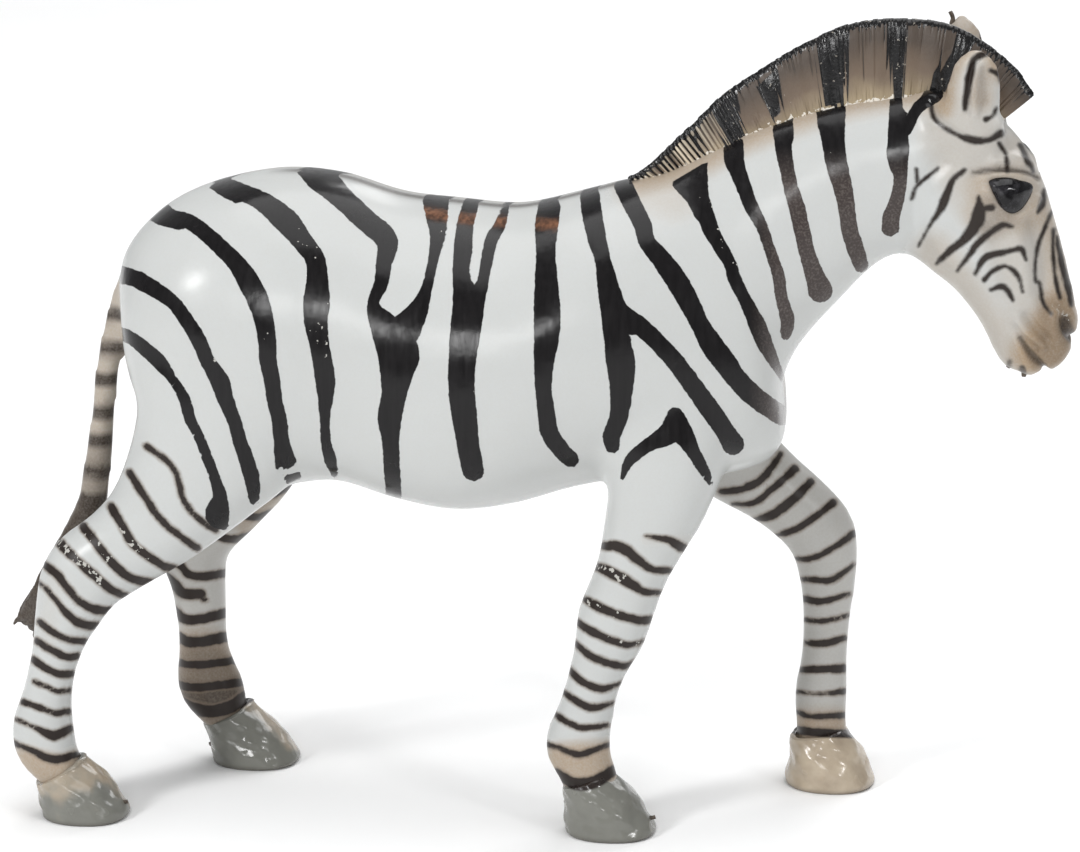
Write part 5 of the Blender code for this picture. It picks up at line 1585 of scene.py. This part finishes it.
class ZEBRA_OT_hooves(bpy.types.Operator):
    """Set an enamelled hoof on each leg"""

    bl_idname = "zebra.hooves"
    bl_label = "Hooves"

    def execute(self, context):
        parts = [hoof_surface(*row[:8]) for row in HOOVES]
        vertices, quads, triangles = joined(parts)
        mesh = new_mesh("zebra_hooves", to_frame(vertices), quads, triangles)
        counts = [len(part[0]) for part in parts]
        olive = np.repeat([row[8] for row in HOOVES], counts)
        top = np.repeat([row[5] for row in HOOVES], counts)
        add_values(mesh, "olive", olive - sprayed(*seen(vertices), HOOF_MIST))
        add_values(mesh, "band", leg_bands(vertices))
        add_values(mesh, "rise", vertices[:, 2] / top)
        mesh.materials.append(dipped_hoof(context.scene.zebra_colours))
        ride_and_slot(new_object("zebra_hooves", mesh))
        return {"FINISHED"}


class ZEBRA_OT_mane(bpy.types.Operator):
    """Stand the grooved mane on the crest of the neck"""

    bl_idname = "zebra.mane"
    bl_label = "Mane"

    def execute(self, context):
        skin, *looks = mane_surface(context.scene.zebra_sizes)
        vertices, quads, triangles = skin
        mesh = new_mesh("zebra_mane", to_frame(vertices), quads, triangles)
        u, v = seen(mirrored(vertices))
        add_values(mesh, "patch", painted(u, v, (), MANE_PATCHES))
        for name, values in zip(("above", "below", "groove", "comb", "tone"), looks):
            add_values(mesh, name, values)
        mesh.materials.append(brushed_mane(context.scene.zebra_colours))
        ride_and_slot(new_object("zebra_mane", mesh))
        return {"FINISHED"}


class ZEBRA_OT_eyes(bpy.types.Operator):
    """Lay a gloss black eye between the lids on each side"""

    bl_idname = "zebra.eyes"
    bl_label = "Eyes"

    def execute(self, context):
        relief = context.scene.zebra_sizes.eye_relief / UNIT
        skin = bpy.data.objects["zebra_skin"].data
        vertices, quads, triangles = joined([eye_surface(skin, side, relief)
                                             for side in (-1, 1)])
        mesh = new_mesh("zebra_eyes", to_frame(vertices), quads, triangles)
        mesh.materials.append(gloss_eye())
        ride_and_slot(new_object("zebra_eyes", mesh))
        return {"FINISHED"}


class ZEBRA_OT_flash(bpy.types.Operator):
    """Leave the nibs of mould flash on ear, chin and hooves"""

    bl_idname = "zebra.flash"
    bl_label = "Mould flash"

    def execute(self, context):
        vertices, quads, triangles = flash_skin()
        mesh = new_mesh("zebra_flash", to_frame(vertices), quads, triangles)
        mesh.materials.append(mould_flash(context.scene.zebra_colours))
        ride_and_slot(new_object("zebra_flash", mesh))
        return {"FINISHED"}


def soft_box(name, place, size, energy):
    """Rectangular lamp of a size in metres, at a place in metres, facing the figure's middle."""
    lamp = bpy.data.lights.new(name, "AREA")
    lamp.shape = "RECTANGLE"
    lamp.size, lamp.size_y = size
    lamp.energy = energy
    holder = bpy.data.objects.new(name, lamp)
    holder.location = place
    aim = Vector(LAMP_TARGET) - Vector(place)
    holder.rotation_euler = aim.to_track_quat("-Z", "Y").to_euler()
    bpy.context.scene.collection.objects.link(holder)


class ZEBRA_OT_stage(bpy.types.Operator):
    """Lay the paper, hang the lamps and place the camera at the photo's viewpoint"""

    bl_idname = "zebra.stage"
    bl_label = "Studio"

    def execute(self, context):
        # Paper: a line from the front, bent through a quarter circle up the back wall.
        bend = np.linspace(0.0, math.pi / 2, 24)
        radius = 0.5
        y = np.concatenate(([-2.0], 1.2 + radius * np.sin(bend), [1.2 + radius]))
        z = np.concatenate(([0.0], radius * (1.0 - np.cos(bend)), [2.5]))
        x = np.linspace(-2.5, 2.5, 9)
        grid = np.stack((x[:, None] + 0.0 * y, y + 0.0 * x[:, None], z + 0.0 * x[:, None]),
                        axis=-1)
        number = np.arange(grid.shape[0] * grid.shape[1]).reshape(grid.shape[:2])
        quads = np.stack((number[:-1, :-1], number[1:, :-1], number[1:, 1:], number[:-1, 1:]),
                         axis=-1).reshape(-1, 4)
        mesh = new_mesh("studio_paper", grid.reshape(-1, 3), quads,
                        np.empty((0, 3), dtype=np.int32))
        mesh.materials.append(studio_paper(context.scene.zebra_colours.floor))
        new_object("studio_paper", mesh)

        for name, (place, size, energy) in LAMPS.items():
            soft_box(name, place, size, energy)
        world = bpy.data.worlds.new("studio_light")
        world.use_nodes = True
        sky = world.node_tree.nodes["Background"]
        sky.inputs["Color"].default_value = (0.96, 0.98, 1.0, 1.0)
        sky.inputs["Strength"].default_value = 0.25
        context.scene.world = world
        context.scene.view_settings.view_transform = "Standard"

        lens = bpy.data.cameras.new("photo_view")
        lens.sensor_width = FILM_WIDTH
        lens.lens = VIEW_LENS
        lens.clip_start = 0.01
        camera = bpy.data.objects.new("photo_view", lens)
        place = Vector(to_frame(VIEW_POINT))
        target = Vector(to_frame(VIEW_TARGET))
        camera.location = place
        camera.rotation_euler = (target - place).to_track_quat("-Z", "Y").to_euler()
        context.scene.collection.objects.link(camera)
        context.scene.camera = camera
        return {"FINISHED"}


class ZEBRA_PT_looks(bpy.types.Panel):
    """Sizes, colours and pieces of the zebra"""

    bl_label = "Zebra Figurine"
    bl_idname = "ZEBRA_PT_looks"
    bl_space_type = "VIEW_3D"
    bl_region_type = "UI"
    bl_category = "Zebra"

    def draw(self, context):
        column = self.layout.column()
        for group in (context.scene.zebra_sizes, context.scene.zebra_colours):
            for name in group.__annotations__:
                column.prop(group, name)
        for operator in OPERATORS:
            column.operator(operator.bl_idname)


OPERATORS = (ZEBRA_OT_skin, ZEBRA_OT_hooves, ZEBRA_OT_mane, ZEBRA_OT_eyes, ZEBRA_OT_flash,
             ZEBRA_OT_stage)
CLASSES = (ZebraSizes, ZebraColours, *OPERATORS, ZEBRA_PT_looks)


def register():
    """Adds the classes, and the scene's sizes and colours."""
    for item in CLASSES:
        bpy.utils.register_class(item)
    bpy.types.Scene.zebra_sizes = bpy.props.PointerProperty(type=ZebraSizes)
    bpy.types.Scene.zebra_colours = bpy.props.PointerProperty(type=ZebraColours)


def unregister():
    """Takes the colours, the sizes and the classes away again."""
    del bpy.types.Scene.zebra_colours
    del bpy.types.Scene.zebra_sizes
    for item in reversed(CLASSES):
        bpy.utils.unregister_class(item)


def main():
    """Makes every piece and the studio."""
    register()
    bpy.ops.zebra.skin()
    bpy.ops.zebra.hooves()
    bpy.ops.zebra.mane()
    bpy.ops.zebra.eyes()
    bpy.ops.zebra.flash()
    bpy.ops.zebra.stage()


if __name__ == "__main__":
    main()
